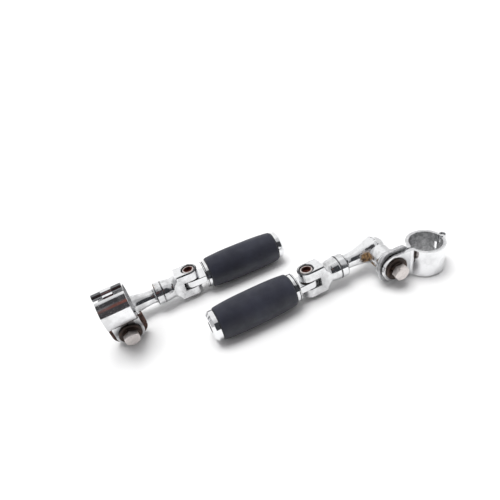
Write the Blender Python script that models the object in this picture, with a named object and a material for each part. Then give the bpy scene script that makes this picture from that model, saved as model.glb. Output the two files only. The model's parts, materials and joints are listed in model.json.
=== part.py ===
"""A pair of highway pegs on hinged clamps for an engine guard tube.

Both pegs are made of the same sixteen pieces. The front one lies with its clamp
standing on end. The rear one lies the other way round, with its arm turned over
and its clamp upright. Sizes are in millimetres and are scaled to metres when
the meshes are made.
"""

import math

import bmesh
import bpy
from mathutils import Matrix, Vector

MM = 0.001

# Running and seating clearances
SEAT_GAP = 0.2
COLLAR_SEAM = 0.3
PIN_GAP = 0.3
SLIDE_GAP = 0.4

# Peg: axis along X, outer end at +X, origin on the pivot axis
PEG_COLLAR_START = 14.7
PEG_FLANGE_WIDTH = 1.4
COLLAR_RING_WIDTH = 3.7
PEG_COLLAR_RADIUS = 14.4
PEG_COLLAR_EDGE = 0.5
RUBBER_LENGTH = 78.2
RUBBER_END_RADIUS = 16.1
RUBBER_CROWN_RADIUS = 17.9
RUBBER_EDGE = 1.6
SHAFT_RADIUS = 9.5
CAP_RADIUS = 15.0
CAP_LENGTH = 7.6
CAP_CHAMFER = 2.8
CAP_SCREW_HEAD_RADIUS = 5.4
CAP_SCREW_HEAD_HEIGHT = 4.0
CAP_SCREW_RADIUS = 3.0
CAP_SCREW_LENGTH = 16.0
CAP_SCREW_RECESS = 1.2

# Clevis: fork round the tongue, shank toward the arm
FORK_HEIGHT = 30.0
FORK_WIDTH = 18.6
FORK_SLOT = 9.6
FORK_BLOCK_END = 15.0
FORK_FLAT_END = 19.5
FORK_EDGE = 1.1
TONGUE_SIDE_GAP = 0.5
SPRING_WASHER_THICKNESS = 0.8
SPRING_WASHER_RADIUS = 7.6
SHANK_START = 22.2
SHANK_START_RADIUS = 10.8
SHANK_END_RADIUS = 12.0
SHANK_END = 32.1
SPIGOT_RADIUS = 6.0
SPIGOT_LENGTH = 7.0
SPIGOT_GROOVE_DEPTH = 0.8

# Pivot screw and nut
PIVOT_RADIUS = 4.5
PIVOT_THREAD_RADIUS = 3.0
PIVOT_HEAD_RADIUS = 6.2
PIVOT_HEAD_HEIGHT = 5.0
PIVOT_HEAD_SINK = 0.8
PIVOT_SOCKET = 7.6
PIVOT_SOCKET_DEPTH = 3.6
COUNTERBORE_RADIUS = 7.6
PIVOT_NUT_SIZE = 10.0
PIVOT_NUT_HEIGHT = 4.2
NUT_POCKET_DEPTH = 5.6

# Offset arm
ARM_COLLAR_WIDTH = 8.0
ARM_COLLAR_RADIUS = 12.1
ARM_COLLAR_EDGE = 0.9
ARM_NECK_RADIUS = 7.5
ARM_NECK_SHIFT = 1.5
ARM_NECK_LENGTH = 6.0
ARM_ELBOW_RADIUS = 13.3
ARM_ELBOW_SHIFT = 0.6
ARM_LEG_RADIUS = 11.6
ARM_LEG_FILLET = 5.0
ARM_REACH = 76.6
ARM_OFFSET = 32.2
FLANGE_LIP = 1.0
FLANGE_THICKNESS = 3.4
FLANGE_EDGE = 0.5
SET_SCREW_RADIUS = 1.5
SET_SCREW_SINK = 0.6

# Tube clamp: bolt along Y, ring toward +X, tube along Z
TUBE_BORE = 31.8
CLAMP_WALL = 3.2
CLAMP_WIDTH = 28.0
CLAMP_REACH = 37.6
EAR_OVERHANG = 0.2
WIDE_EAR_LIP = 1.1
WIDE_EAR_STEP = 4.0
WIDE_EAR_SHOULDER = 13.0
WIDE_EAR_SQUARENESS = 2.5
EAR_GAP = 2.0
BORE_LIP_RADIUS = 2.5
STRAP_BEND_RADIUS = 3.0
KNUCKLE_RADIUS = 4.3
KNUCKLE_WIDTH = 9.6
CROSS_BAR_RADIUS = 2.4
CROSS_BAR_LENGTH = 25.6
HOOK_SEAM = 0.6
HOOK_SEAM_TURN = -95.0
HOOK_WALL_END = 4.0
HOOK_SLOT_END = 17.0
TONGUE_HALF_END = 15.0
TONGUE_NECK_END = 3.0

# Clamp bolt and its washers
BOLT_RADIUS = 4.7
BOLT_HEX = 14.3
BOLT_HEAD_HEIGHT = 5.8
BOLT_THREAD_LENGTH = 12.0
LOCK_WASHER_RADIUS = 8.4
LOCK_WASHER_THICKNESS = 2.0
LOCK_WASHER_SPLIT = 1.2
FLAT_WASHER_RADIUS = 11.6
FLAT_WASHER_THICKNESS = 1.6

# How the two lie on the floor, in millimetres and degrees
FRONT_PIVOT = (28.0, -30.6)
FRONT_ANGLES = {"yaw": 180.575, "pitch": 0.6, "lean": 2.9, "arm": -4.9, "swing": 3.2}
REAR_PIVOT = (-71.9, 48.4)
REAR_ANGLES = {"yaw": -0.575, "pitch": 0.8, "lean": -1.15, "arm": 189.7, "swing": 86.6}

# Worked out from the sizes above
FLANGE_END = PEG_COLLAR_START + PEG_FLANGE_WIDTH
COLLAR_RING_START = FLANGE_END + COLLAR_SEAM
COLLAR_RING_END = COLLAR_RING_START + COLLAR_RING_WIDTH
RUBBER_START = COLLAR_RING_END + SEAT_GAP
RUBBER_END = RUBBER_START + RUBBER_LENGTH
CAP_START = RUBBER_END + SEAT_GAP
CAP_END = CAP_START + CAP_LENGTH
SHAFT_END = CAP_START - SEAT_GAP
CAP_SEAT = CAP_END - CAP_SCREW_RECESS - CAP_SCREW_HEAD_HEIGHT - SEAT_GAP
TONGUE_RADIUS = FORK_WIDTH / 2 - TONGUE_SIDE_GAP
TONGUE_LOW = -FORK_SLOT / 2 + PIN_GAP
TONGUE_HIGH = FORK_SLOT / 2 - SPRING_WASHER_THICKNESS - 2 * PIN_GAP
SLOT_BOTTOM = TONGUE_RADIUS + 2 * SLIDE_GAP
FLANGE_FACE = ARM_OFFSET - EAR_GAP / 2 - CLAMP_WALL - SEAT_GAP
EAR_FACE = EAR_GAP / 2 + CLAMP_WALL
FLAT_WASHER_LOW = EAR_FACE + SEAT_GAP
LOCK_WASHER_LOW = FLAT_WASHER_LOW + FLAT_WASHER_THICKNESS + SEAT_GAP
BOLT_HEAD_LOW = LOCK_WASHER_LOW + LOCK_WASHER_THICKNESS + SEAT_GAP
BOLT_END = -EAR_FACE - SEAT_GAP - FLANGE_THICKNESS - BOLT_THREAD_LENGTH
RING_INNER = TUBE_BORE / 2
EAR_RADIUS = CLAMP_WIDTH / 2 + EAR_OVERHANG
FLANGE_RADIUS = EAR_RADIUS + FLANGE_LIP
WIDE_EAR_END = EAR_RADIUS + WIDE_EAR_LIP
WIDE_EAR_HALF = CLAMP_WIDTH / 2 + WIDE_EAR_STEP
RING_OUTER = RING_INNER + CLAMP_WALL
KNUCKLE_CENTRE = CLAMP_REACH + RING_INNER + KNUCKLE_RADIUS + 0.1
ARM_COLLAR_START = SHANK_END + SEAT_GAP
ARM_COLLAR_END = ARM_COLLAR_START + ARM_COLLAR_WIDTH
SET_SCREW_PLACE = ARM_COLLAR_START + ARM_COLLAR_WIDTH / 2
PIVOT_HEAD_TOP = FORK_HEIGHT / 2 - PIVOT_HEAD_SINK
PIVOT_HEAD_LOW = PIVOT_HEAD_TOP - PIVOT_HEAD_HEIGHT
NUT_SEAT = -FORK_HEIGHT / 2 + NUT_POCKET_DEPTH

ROUND_STEPS = 32
SMALL_STEPS = 20


def clear_scene():
    """Removes every object, so that the script gives the same result each time."""
    for item in list(bpy.data.objects):
        bpy.data.objects.remove(item, do_unlink=True)


def surface(name, colour, roughness, metallic):
    """Makes one plain material."""
    made = bpy.data.materials.new(name)
    made.use_nodes = True
    shader = made.node_tree.nodes["Principled BSDF"]
    shader.inputs["Base Color"].default_value = (*colour, 1.0)
    shader.inputs["Roughness"].default_value = roughness
    shader.inputs["Metallic"].default_value = metallic
    made.diffuse_color = (*colour, 1.0)
    return made


def arc(centre, radius, start, end, steps):
    """Points on an arc, with the angles in degrees."""
    points = []
    for step in range(steps + 1):
        angle = math.radians(start + (end - start) * step / steps)
        points.append((centre[0] + radius * math.cos(angle), centre[1] + radius * math.sin(angle)))
    return points


def make_object(name, bm):
    """Turns a bmesh in millimetres into an object in metres."""
    bmesh.ops.remove_doubles(bm, verts=bm.verts, dist=1e-4)
    bmesh.ops.recalc_face_normals(bm, faces=bm.faces)
    bmesh.ops.scale(bm, vec=(MM, MM, MM), verts=bm.verts)
    mesh = bpy.data.meshes.new(name)
    bm.to_mesh(mesh)
    bm.free()
    made = bpy.data.objects.new(name, mesh)
    bpy.context.scene.collection.objects.link(made)
    return made


def turned(name, profile, steps=ROUND_STEPS, closed=False):
    """Turns a profile of (radius, height) about Z. A closed profile makes a ring."""
    bm = bmesh.new()
    verts = [bm.verts.new((radius, 0.0, height)) for radius, height in profile]
    edges = [bm.edges.new(pair) for pair in zip(verts, verts[1:])]
    if closed:
        edges.append(bm.edges.new((verts[-1], verts[0])))
    bmesh.ops.spin(
        bm, geom=verts + edges, cent=(0, 0, 0), axis=(0, 0, 1), angle=math.tau, steps=steps, use_merge=True
    )
    bmesh.ops.remove_doubles(bm, verts=bm.verts, dist=1e-4)
    bmesh.ops.dissolve_degenerate(bm, edges=bm.edges, dist=1e-4)
    return make_object(name, bm)


def prism(name, outline, low, high):
    """Extrudes a flat outline along Z."""
    bm = bmesh.new()
    face = bm.faces.new([bm.verts.new((x, y, low)) for x, y in outline])
    lifted = bmesh.ops.extrude_face_region(bm, geom=[face])["geom"]
    tops = [item for item in lifted if isinstance(item, bmesh.types.BMVert)]
    bmesh.ops.translate(bm, vec=(0, 0, high - low), verts=tops)
    return make_object(name, bm)


def rod(name, radius, low, high, steps=SMALL_STEPS):
    """A plain cylinder along Z."""
    return turned(name, [(0, low), (radius, low), (radius, high), (0, high)], steps)


def hexagon(across):
    """Outline of a hexagon with this size across its flats."""
    return arc((0, 0), across / math.sqrt(3), 0, 300, 5)


def box(name, low, high):
    """A block between two corners."""
    outline = [(low[0], low[1]), (high[0], low[1]), (high[0], high[1]), (low[0], high[1])]
    return prism(name, outline, low[2], high[2])


def turn(item, axis, degrees, shift=(0, 0, 0)):
    """Turns the mesh of an object about an axis through the origin, then shifts it."""
    move = Matrix.Translation(Vector(shift) * MM) @ Matrix.Rotation(math.radians(degrees), 4, axis)
    item.data.transform(move)
    return item


def along_x(item):
    """Lays a piece that was turned about Z along +X."""
    return turn(item, "Y", 90)


def along_y(item):
    """Lays a piece that was turned about Z along +Y."""
    return turn(item, "X", -90)


def bake(item):
    """Replaces the mesh of an object by what its modifiers make of it."""
    graph = bpy.context.evaluated_depsgraph_get()
    mesh = bpy.data.meshes.new_from_object(item.evaluated_get(graph))
    item.modifiers.clear()
    item.data = mesh
    return item


def combine(item, others, operation):
    """Joins pieces to an object, or cuts them from it."""
    for other in others:
        change = item.modifiers.new(operation.lower(), "BOOLEAN")
        change.operation = operation
        change.solver = "EXACT"
        change.object = other
        bake(item)
        bpy.data.objects.remove(other, do_unlink=True)
    return item


def soften(item, width, segments, angle=40):
    """Rounds the sharp edges of an object."""
    bevel = item.modifiers.new("rounding", "BEVEL")
    bevel.width = width * MM
    bevel.segments = segments
    bevel.limit_method = "ANGLE"
    bevel.angle_limit = math.radians(angle)
    return bake(item)


def make_peg_core():
    """Tongue, thin flange and shaft in one piece."""
    edge = PEG_COLLAR_EDGE
    core = along_x(turned("peg_core", [
        (0, PEG_COLLAR_START),
        (PEG_COLLAR_RADIUS - edge, PEG_COLLAR_START),
        (PEG_COLLAR_RADIUS, PEG_COLLAR_START + edge),
        (PEG_COLLAR_RADIUS, FLANGE_END),
        (SHAFT_RADIUS, FLANGE_END),
        (SHAFT_RADIUS, SHAFT_END),
        (0, SHAFT_END),
    ]))
    outline = arc((0, 0), TONGUE_RADIUS, 90, 270, 14)
    tongue_end = PEG_COLLAR_START + PEG_FLANGE_WIDTH / 2
    outline += [(tongue_end, -TONGUE_RADIUS), (tongue_end, TONGUE_RADIUS)]
    tongue = prism("tongue", outline, TONGUE_LOW, TONGUE_HIGH)
    core = combine(core, [tongue], "UNION")
    pin_hole = rod("pin_hole", PIVOT_RADIUS + PIN_GAP, -FORK_HEIGHT, FORK_HEIGHT)
    depth = CAP_SCREW_LENGTH + 2 * SLIDE_GAP
    screw_hole = along_x(rod("screw_hole", CAP_SCREW_RADIUS + SEAT_GAP, CAP_SEAT - depth, CAP_END))
    return combine(core, [pin_hole, screw_hole], "DIFFERENCE")


def make_collar_ring():
    """Ring between the flange and the rubber."""
    edge = PEG_COLLAR_EDGE
    bore = SHAFT_RADIUS + SEAT_GAP
    return along_x(turned("collar_ring", [
        (bore, COLLAR_RING_START),
        (PEG_COLLAR_RADIUS - edge, COLLAR_RING_START),
        (PEG_COLLAR_RADIUS, COLLAR_RING_START + edge),
        (PEG_COLLAR_RADIUS, COLLAR_RING_END - edge),
        (PEG_COLLAR_RADIUS - edge, COLLAR_RING_END),
        (bore, COLLAR_RING_END),
    ], closed=True))


def rubber_radius(place):
    """Outer radius of the rubber: nearly straight in the middle, drawn in at the ends."""
    share = abs(2 * place / RUBBER_LENGTH - 1)
    return RUBBER_END_RADIUS + (RUBBER_CROWN_RADIUS - RUBBER_END_RADIUS) * (1 - share ** 3)


def make_rubber_sleeve():
    """Barrel shaped sleeve with rounded ends."""
    bore = SHAFT_RADIUS + PIN_GAP
    outer = []
    steps = 10
    for step in range(steps + 1):
        place = RUBBER_EDGE + (RUBBER_LENGTH - 2 * RUBBER_EDGE) * step / steps
        outer.append((rubber_radius(place), RUBBER_START + place))
    start = arc((outer[0][0] - RUBBER_EDGE, outer[0][1]), RUBBER_EDGE, -90, 0, 3)[:-1]
    end = arc((outer[-1][0] - RUBBER_EDGE, outer[-1][1]), RUBBER_EDGE, 0, 90, 3)[1:]
    profile = [(bore, RUBBER_START)] + start + outer + end + [(bore, RUBBER_END)]
    return along_x(turned("rubber_sleeve", profile, ROUND_STEPS, closed=True))


def make_end_cap():
    """Chamfered cap with a recess for its screw."""
    edge = 0.5
    recess = CAP_SCREW_HEAD_RADIUS + PIN_GAP
    return along_x(turned("end_cap", [
        (CAP_SCREW_RADIUS + SEAT_GAP, CAP_START),
        (CAP_RADIUS - edge, CAP_START),
        (CAP_RADIUS, CAP_START + edge),
        (CAP_RADIUS, CAP_END - CAP_CHAMFER),
        (CAP_RADIUS - CAP_CHAMFER, CAP_END),
        (recess, CAP_END),
        (recess, CAP_SEAT),
        (CAP_SCREW_RADIUS + SEAT_GAP, CAP_SEAT),
    ], closed=True))


def make_end_cap_screw():
    """Socket screw in the middle of the cap."""
    low = CAP_SEAT + SEAT_GAP
    high = low + CAP_SCREW_HEAD_HEIGHT
    edge = 0.6
    screw = turned("end_cap_screw", [
        (0, CAP_SEAT - CAP_SCREW_LENGTH),
        (CAP_SCREW_RADIUS, CAP_SEAT - CAP_SCREW_LENGTH),
        (CAP_SCREW_RADIUS, low),
        (CAP_SCREW_HEAD_RADIUS, low),
        (CAP_SCREW_HEAD_RADIUS, high - edge),
        (CAP_SCREW_HEAD_RADIUS - edge, high),
        (0, high),
    ], SMALL_STEPS)
    socket = prism("socket", hexagon(CAP_SCREW_HEAD_RADIUS), high - 2.4, high + 1)
    return along_x(combine(screw, [socket], "DIFFERENCE"))


def clevis_profile():
    """Turned outline of the clevis: hollow taper, domed shank and grooved spigot."""
    corner = math.hypot(FORK_WIDTH / 2, FORK_HEIGHT / 2)
    run = SHANK_START - FORK_BLOCK_END
    drop = corner - SHANK_START_RADIUS
    rise = SHANK_END_RADIUS - SHANK_START_RADIUS
    profile = [(0, FORK_WIDTH), (corner + 2, FORK_WIDTH), (corner + 2, -FORK_BLOCK_END)]
    for step in range(6):
        angle = math.radians(90 * step / 5)
        profile.append((SHANK_START_RADIUS + drop * (1 - math.sin(angle)), -SHANK_START + run * math.cos(angle)))
    for step in range(1, 5):
        share = step / 4
        place = -SHANK_START - (SHANK_END - SHANK_START) * share
        profile.append((SHANK_START_RADIUS + rise * math.sin(share * math.pi / 2), place))
    groove_width = 2 * (SET_SCREW_RADIUS + SLIDE_GAP)
    groove_start = -SET_SCREW_PLACE + groove_width / 2
    groove_radius = SPIGOT_RADIUS - SPIGOT_GROOVE_DEPTH
    return profile + [
        (SPIGOT_RADIUS, -SHANK_END),
        (SPIGOT_RADIUS, groove_start),
        (groove_radius, groove_start),
        (groove_radius, groove_start - groove_width),
        (SPIGOT_RADIUS, groove_start - groove_width),
        (SPIGOT_RADIUS, -SHANK_END - SPIGOT_LENGTH),
        (0, -SHANK_END - SPIGOT_LENGTH),
    ]


def make_clevis():
    """Fork, turned shank and spigot in one piece."""
    half = FORK_WIDTH / 2
    wide = SHANK_END_RADIUS + 2
    far = -SHANK_END - SPIGOT_LENGTH - 5
    outline = arc((0, 0), half, 90, -90, 16)
    outline += [(-FORK_FLAT_END, -half), (-SHANK_START - 3, -wide), (far, -wide)]
    outline += [(far, wide), (-SHANK_START - 3, wide), (-FORK_FLAT_END, half)]
    fork = soften(prism("clevis", outline, -FORK_HEIGHT / 2, FORK_HEIGHT / 2), FORK_EDGE, 1)
    fork = combine(fork, [along_x(turned("blank", clevis_profile()))], "INTERSECT")
    slot = box("slot", (-SLOT_BOTTOM, -FORK_WIDTH, -FORK_SLOT / 2), (FORK_WIDTH, FORK_WIDTH, FORK_SLOT / 2))
    seat = PIVOT_HEAD_LOW - SEAT_GAP
    counterbore = rod("counterbore", COUNTERBORE_RADIUS, seat, FORK_HEIGHT)
    pocket = prism("nut_pocket", hexagon(PIVOT_NUT_SIZE + 2 * PIN_GAP), -FORK_HEIGHT, NUT_SEAT)
    pin_hole = rod("pin_hole", PIVOT_RADIUS + PIN_GAP, -FORK_HEIGHT, FORK_HEIGHT)
    return combine(fork, [slot, counterbore, pocket, pin_hole], "DIFFERENCE")


def make_pivot_screw():
    """Shoulder screw with a hexagon socket and a thinner threaded end."""
    edge = 0.7
    shoulder_end = NUT_SEAT + SEAT_GAP
    end = NUT_SEAT - PIVOT_NUT_HEIGHT - 2 * SEAT_GAP
    screw = turned("pivot_screw", [
        (0, end),
        (PIVOT_THREAD_RADIUS, end),
        (PIVOT_THREAD_RADIUS, shoulder_end),
        (PIVOT_RADIUS, shoulder_end),
        (PIVOT_RADIUS, PIVOT_HEAD_LOW),
        (PIVOT_HEAD_RADIUS, PIVOT_HEAD_LOW),
        (PIVOT_HEAD_RADIUS, PIVOT_HEAD_TOP - edge),
        (PIVOT_HEAD_RADIUS - edge, PIVOT_HEAD_TOP),
        (0, PIVOT_HEAD_TOP),
    ], SMALL_STEPS)
    socket = prism("socket", hexagon(PIVOT_SOCKET), PIVOT_HEAD_TOP - PIVOT_SOCKET_DEPTH, FORK_HEIGHT)
    return combine(screw, [socket], "DIFFERENCE")


def make_pivot_nut():
    """Nut in the pocket under the lower cheek."""
    high = NUT_SEAT - SEAT_GAP
    nut = prism("pivot_nut", hexagon(PIVOT_NUT_SIZE), high - PIVOT_NUT_HEIGHT, high)
    hole = rod("hole", PIVOT_THREAD_RADIUS + SEAT_GAP, -FORK_HEIGHT, FORK_HEIGHT)
    return combine(nut, [hole], "DIFFERENCE")


def make_spring_washer():
    """Thin washer between the tongue and the upper cheek."""
    low = TONGUE_HIGH + PIN_GAP
    high = low + SPRING_WASHER_THICKNESS
    bore = PIVOT_RADIUS + PIN_GAP
    profile = [(bore, low), (SPRING_WASHER_RADIUS, low), (SPRING_WASHER_RADIUS, high), (bore, high)]
    return turned("spring_washer", profile, SMALL_STEPS, closed=True)


def make_arm_neck():
    """Collar end of the arm and the neck that swells toward the elbow, lying along -X."""
    edge = ARM_COLLAR_EDGE
    root = ARM_NECK_RADIUS + edge
    collar = turned("offset_arm", [
        (0, -ARM_COLLAR_START),
        (ARM_COLLAR_RADIUS - edge, -ARM_COLLAR_START),
        (ARM_COLLAR_RADIUS, -ARM_COLLAR_START - edge),
        (ARM_COLLAR_RADIUS, -ARM_COLLAR_END + edge),
        (ARM_COLLAR_RADIUS - edge, -ARM_COLLAR_END),
        (0, -ARM_COLLAR_END),
    ])
    profile = [(0, -ARM_COLLAR_END + 1), (root, -ARM_COLLAR_END + 1), (root, -ARM_COLLAR_END)]
    profile.append((ARM_NECK_RADIUS, -ARM_COLLAR_END - 2 * edge))
    straight_end = ARM_COLLAR_END + ARM_NECK_LENGTH
    run = ARM_REACH - straight_end
    steps = 8
    for step in range(steps + 1):
        share = step / steps
        swell = share ** 1.4
        radius = ARM_NECK_RADIUS + (ARM_ELBOW_RADIUS - ARM_NECK_RADIUS - 0.2) * swell
        profile.append((radius, -straight_end - run * share))
    profile.append((0, -ARM_REACH))
    neck = turn(along_x(turned("neck", profile)), "X", 0, (0, 0, ARM_NECK_SHIFT))
    return combine(along_x(collar), [neck], "UNION")


def make_arm_leg():
    """Leg from the elbow to the flange behind the clamp's ears, lying along +Y."""
    edge = FLANGE_EDGE
    low = FLANGE_FACE - FLANGE_THICKNESS
    profile = [(0, 0), (ARM_LEG_RADIUS, 0)]
    for step in range(6):
        angle = math.radians(90 * step / 5)
        rise = (FLANGE_RADIUS - ARM_LEG_RADIUS - 2 * edge) * (1 - math.cos(angle))
        profile.append((ARM_LEG_RADIUS + rise, low - ARM_LEG_FILLET * (1 - math.sin(angle))))
    profile += [
        (FLANGE_RADIUS - edge, low),
        (FLANGE_RADIUS, low + edge),
        (FLANGE_RADIUS, FLANGE_FACE - edge),
        (FLANGE_RADIUS - edge, FLANGE_FACE),
        (0, FLANGE_FACE),
    ]
    return turn(along_y(turned("leg", profile)), "X", 0, (-ARM_REACH, 0, 0))


def make_arm_elbow():
    """Ball at the corner of the arm."""
    steps = 12
    profile = []
    for step in range(steps + 1):
        angle = math.radians(-90 + 180 * step / steps)
        profile.append((ARM_ELBOW_RADIUS * math.cos(angle), ARM_ELBOW_RADIUS * math.sin(angle)))
    return turn(turned("elbow", profile), "X", 0, (-ARM_REACH, 0, ARM_ELBOW_SHIFT))


def make_offset_arm():
    """Cast arm, with its origin moved to the clamp bolt's axis."""
    arm = combine(make_arm_neck(), [make_arm_elbow(), make_arm_leg()], "UNION")
    bore_end = -SHANK_END - SPIGOT_LENGTH - SLIDE_GAP
    spigot_bore = along_x(rod("spigot_bore", SPIGOT_RADIUS + PIN_GAP, bore_end, -SHANK_START))
    screw_hole = turn(rod("screw_hole", SET_SCREW_RADIUS + SEAT_GAP, 0, 20), "X", 90, (-SET_SCREW_PLACE, 0, 0))
    bolt_low = ARM_OFFSET + BOLT_END - 2 * SLIDE_GAP
    bolt_hole = rod("bolt_hole", BOLT_RADIUS + SEAT_GAP, bolt_low, ARM_OFFSET)
    turn(bolt_hole, "X", -90, (-ARM_REACH, 0, 0))
    combine(arm, [spigot_bore, screw_hole, bolt_hole], "DIFFERENCE")
    return turn(arm, "X", 0, (ARM_REACH, -ARM_OFFSET, 0))


def make_swivel_set_screw():
    """Headless socket screw in the back of the arm's collar."""
    low = SPIGOT_RADIUS - SPIGOT_GROOVE_DEPTH + SEAT_GAP
    high = ARM_COLLAR_RADIUS - SET_SCREW_SINK
    screw = rod("swivel_set_screw", SET_SCREW_RADIUS, low, high)
    socket = prism("socket", hexagon(SET_SCREW_RADIUS), high - 2, high + 1)
    combine(screw, [socket], "DIFFERENCE")
    return turn(screw, "X", 90, (ARM_REACH - SET_SCREW_PLACE, -ARM_OFFSET, 0))


def strap_outline(hinge_angle):
    """Side view of one clamp half: flat ear, rounded lip, half ring. The ring's centre is on X."""
    centre = (CLAMP_REACH, 0)
    inner_y = EAR_GAP / 2
    outer_y = inner_y + CLAMP_WALL
    lip = BORE_LIP_RADIUS
    lip_x = CLAMP_REACH - math.sqrt((RING_INNER + lip) ** 2 - (inner_y + lip) ** 2)
    lip_angle = math.degrees(math.atan2(inner_y + lip, lip_x - CLAMP_REACH))
    bend = STRAP_BEND_RADIUS
    bend_x = CLAMP_REACH - math.sqrt((RING_OUTER + bend) ** 2 - (outer_y + bend) ** 2)
    bend_angle = math.degrees(math.atan2(outer_y + bend, bend_x - CLAMP_REACH))
    points = [(-WIDE_EAR_END - 1, inner_y)]
    points += arc((lip_x, inner_y + lip), lip, -90, lip_angle - 180, 5)
    points += arc(centre, RING_INNER, lip_angle, hinge_angle, 18)[1:]
    points += arc(centre, RING_OUTER, hinge_angle, bend_angle, 18)
    points += arc((bend_x, outer_y + bend), bend, bend_angle - 180, -90, 5)[1:]
    points.append((-WIDE_EAR_END - 1, outer_y))
    return points


def narrow_ear():
    """Plan of the ear as wide as the ring: a round end that meets the straight edges."""
    long_edge = CLAMP_WIDTH / 2
    meet = math.degrees(math.asin(long_edge / EAR_RADIUS))
    return arc((0, 0), EAR_RADIUS, meet, 360 - meet, 28)


def wide_ear():
    """Plan of the broad ear: an oval end and shoulders that step in to the ring's width."""
    long_edge = CLAMP_WIDTH / 2
    foot = WIDE_EAR_SHOULDER + WIDE_EAR_STEP
    power = 2 / WIDE_EAR_SQUARENESS
    points = [(foot, long_edge), (WIDE_EAR_SHOULDER, WIDE_EAR_HALF)]
    for x, y in arc((0, 0), 1, 90, 270, 26):
        across = math.copysign(abs(y) ** power, y)
        points.append((-(abs(x) ** power) * WIDE_EAR_END, across * WIDE_EAR_HALF))
    return points + [(WIDE_EAR_SHOULDER, -WIDE_EAR_HALF), (foot, -long_edge)]


def strap(name, hinge_angle, ear):
    """One clamp half as a bent strap with an unbroken knuckle, trimmed to the plan of its ear."""
    long_edge = CLAMP_WIDTH / 2
    stock = max(EAR_RADIUS, WIDE_EAR_HALF) + 1
    made = prism(name, strap_outline(hinge_angle), -stock, stock)
    combine(made, [knuckle_rod("knuckle", KNUCKLE_RADIUS, -long_edge - 1, long_edge + 1)], "UNION")
    far = KNUCKLE_CENTRE + KNUCKLE_RADIUS * 2
    plan = prism("plan", ear + [(far, -long_edge), (far, long_edge)], -RING_OUTER * 2, RING_OUTER * 2)
    turn(plan, "X", 90)
    combine(made, [plan], "INTERSECT")
    hole = along_y(rod("bolt_hole", BOLT_RADIUS + PIN_GAP, -20, 20))
    return combine(made, [hole], "DIFFERENCE")


def ring_piece(name, start, end, low, high):
    """Cutter shaped as part of a ring about the tube axis, wider than the clamp's wall."""
    centre = (CLAMP_REACH, 0)
    inner = RING_INNER - 3
    outer = RING_OUTER + 3 * KNUCKLE_RADIUS
    outline = arc(centre, inner, start, end, 6) + arc(centre, outer, end, start, 6)
    return prism(name, outline, low, high)


def knuckle_rod(name, radius, low, high):
    """A round bar on the hinge axis of the clamp."""
    return turn(rod(name, radius, low, high, SMALL_STEPS), "Z", 0, (KNUCKLE_CENTRE, 0, 0))


def make_clamp_tongue_half():
    """Clamp half on the bolt head's side, with a middle knuckle and a cross bar."""
    half = strap("clamp_tongue_half", TONGUE_NECK_END, narrow_ear())
    wide = KNUCKLE_WIDTH / 2
    sides = [ring_piece("upper_side", -HOOK_SLOT_END, TONGUE_HALF_END, wide, CLAMP_WIDTH)]
    sides.append(ring_piece("lower_side", -HOOK_SLOT_END, TONGUE_HALF_END, -CLAMP_WIDTH, -wide))
    combine(half, sides, "DIFFERENCE")
    bar = knuckle_rod("bar", CROSS_BAR_RADIUS, -CROSS_BAR_LENGTH / 2, CROSS_BAR_LENGTH / 2)
    return combine(half, [bar], "UNION")


def make_clamp_hook_half():
    """Clamp half on the arm's side, with two side lugs rolled outward round the cross bar."""
    half = turn(strap("clamp_hook_half", HOOK_WALL_END, wide_ear()), "X", 180)
    slot_half = KNUCKLE_WIDTH / 2 + SLIDE_GAP
    slot = ring_piece("slot", -HOOK_SLOT_END, HOOK_SLOT_END, -slot_half, slot_half)
    hole = knuckle_rod("bar_hole", CROSS_BAR_RADIUS + PIN_GAP, -CLAMP_WIDTH, CLAMP_WIDTH)
    seam = box("seam", (0, -HOOK_SEAM / 2, -CLAMP_WIDTH), (2 * KNUCKLE_RADIUS, HOOK_SEAM / 2, CLAMP_WIDTH))
    turn(seam, "Z", HOOK_SEAM_TURN, (KNUCKLE_CENTRE, 0, 0))
    return combine(half, [slot, hole, seam], "DIFFERENCE")


def make_clamp_bolt():
    """Hexagon head bolt, chamfered on its head."""
    high = BOLT_HEAD_LOW + BOLT_HEAD_HEIGHT
    corner = BOLT_HEX / math.sqrt(3)
    head = prism("clamp_bolt", hexagon(BOLT_HEX), BOLT_HEAD_LOW, high)
    chamfer = turned("chamfer", [
        (0, BOLT_HEAD_LOW - 1), (corner + 1, BOLT_HEAD_LOW - 1), (corner + 1, high - 1.6),
        (BOLT_HEX / 2 - 0.3, high), (0, high),
    ])
    combine(head, [chamfer], "INTERSECT")
    tip = 0.9
    shank = turned("shank", [
        (0, BOLT_END), (BOLT_RADIUS - tip, BOLT_END), (BOLT_RADIUS, BOLT_END + tip),
        (BOLT_RADIUS, BOLT_HEAD_LOW + 1), (0, BOLT_HEAD_LOW + 1),
    ], SMALL_STEPS)
    return along_y(combine(head, [shank], "UNION"))


def make_lock_washer():
    """Split washer under the bolt's head."""
    low = LOCK_WASHER_LOW
    high = low + LOCK_WASHER_THICKNESS
    bore = BOLT_RADIUS + PIN_GAP
    profile = [(bore, low), (LOCK_WASHER_RADIUS, low), (LOCK_WASHER_RADIUS, high), (bore, high)]
    washer = turned("lock_washer", profile, ROUND_STEPS, closed=True)
    split = box("split", (0, -LOCK_WASHER_SPLIT / 2, -20), (20, LOCK_WASHER_SPLIT / 2, 20))
    turn(split, "X", 25, (0, -(low + high) / 2 * math.tan(math.radians(25)) * -1, 0))
    turn(split, "Z", 160)
    return along_y(combine(washer, [split], "DIFFERENCE"))


def make_flat_washer():
    """Flat washer on the ear."""
    low = FLAT_WASHER_LOW
    high = low + FLAT_WASHER_THICKNESS
    bore = BOLT_RADIUS + PIN_GAP
    edge = 0.3
    profile = [
        (bore, low), (FLAT_WASHER_RADIUS, low), (FLAT_WASHER_RADIUS, high - edge),
        (FLAT_WASHER_RADIUS - edge, high), (bore, high),
    ]
    return along_y(turned("flat_washer", profile, ROUND_STEPS, closed=True))


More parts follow.
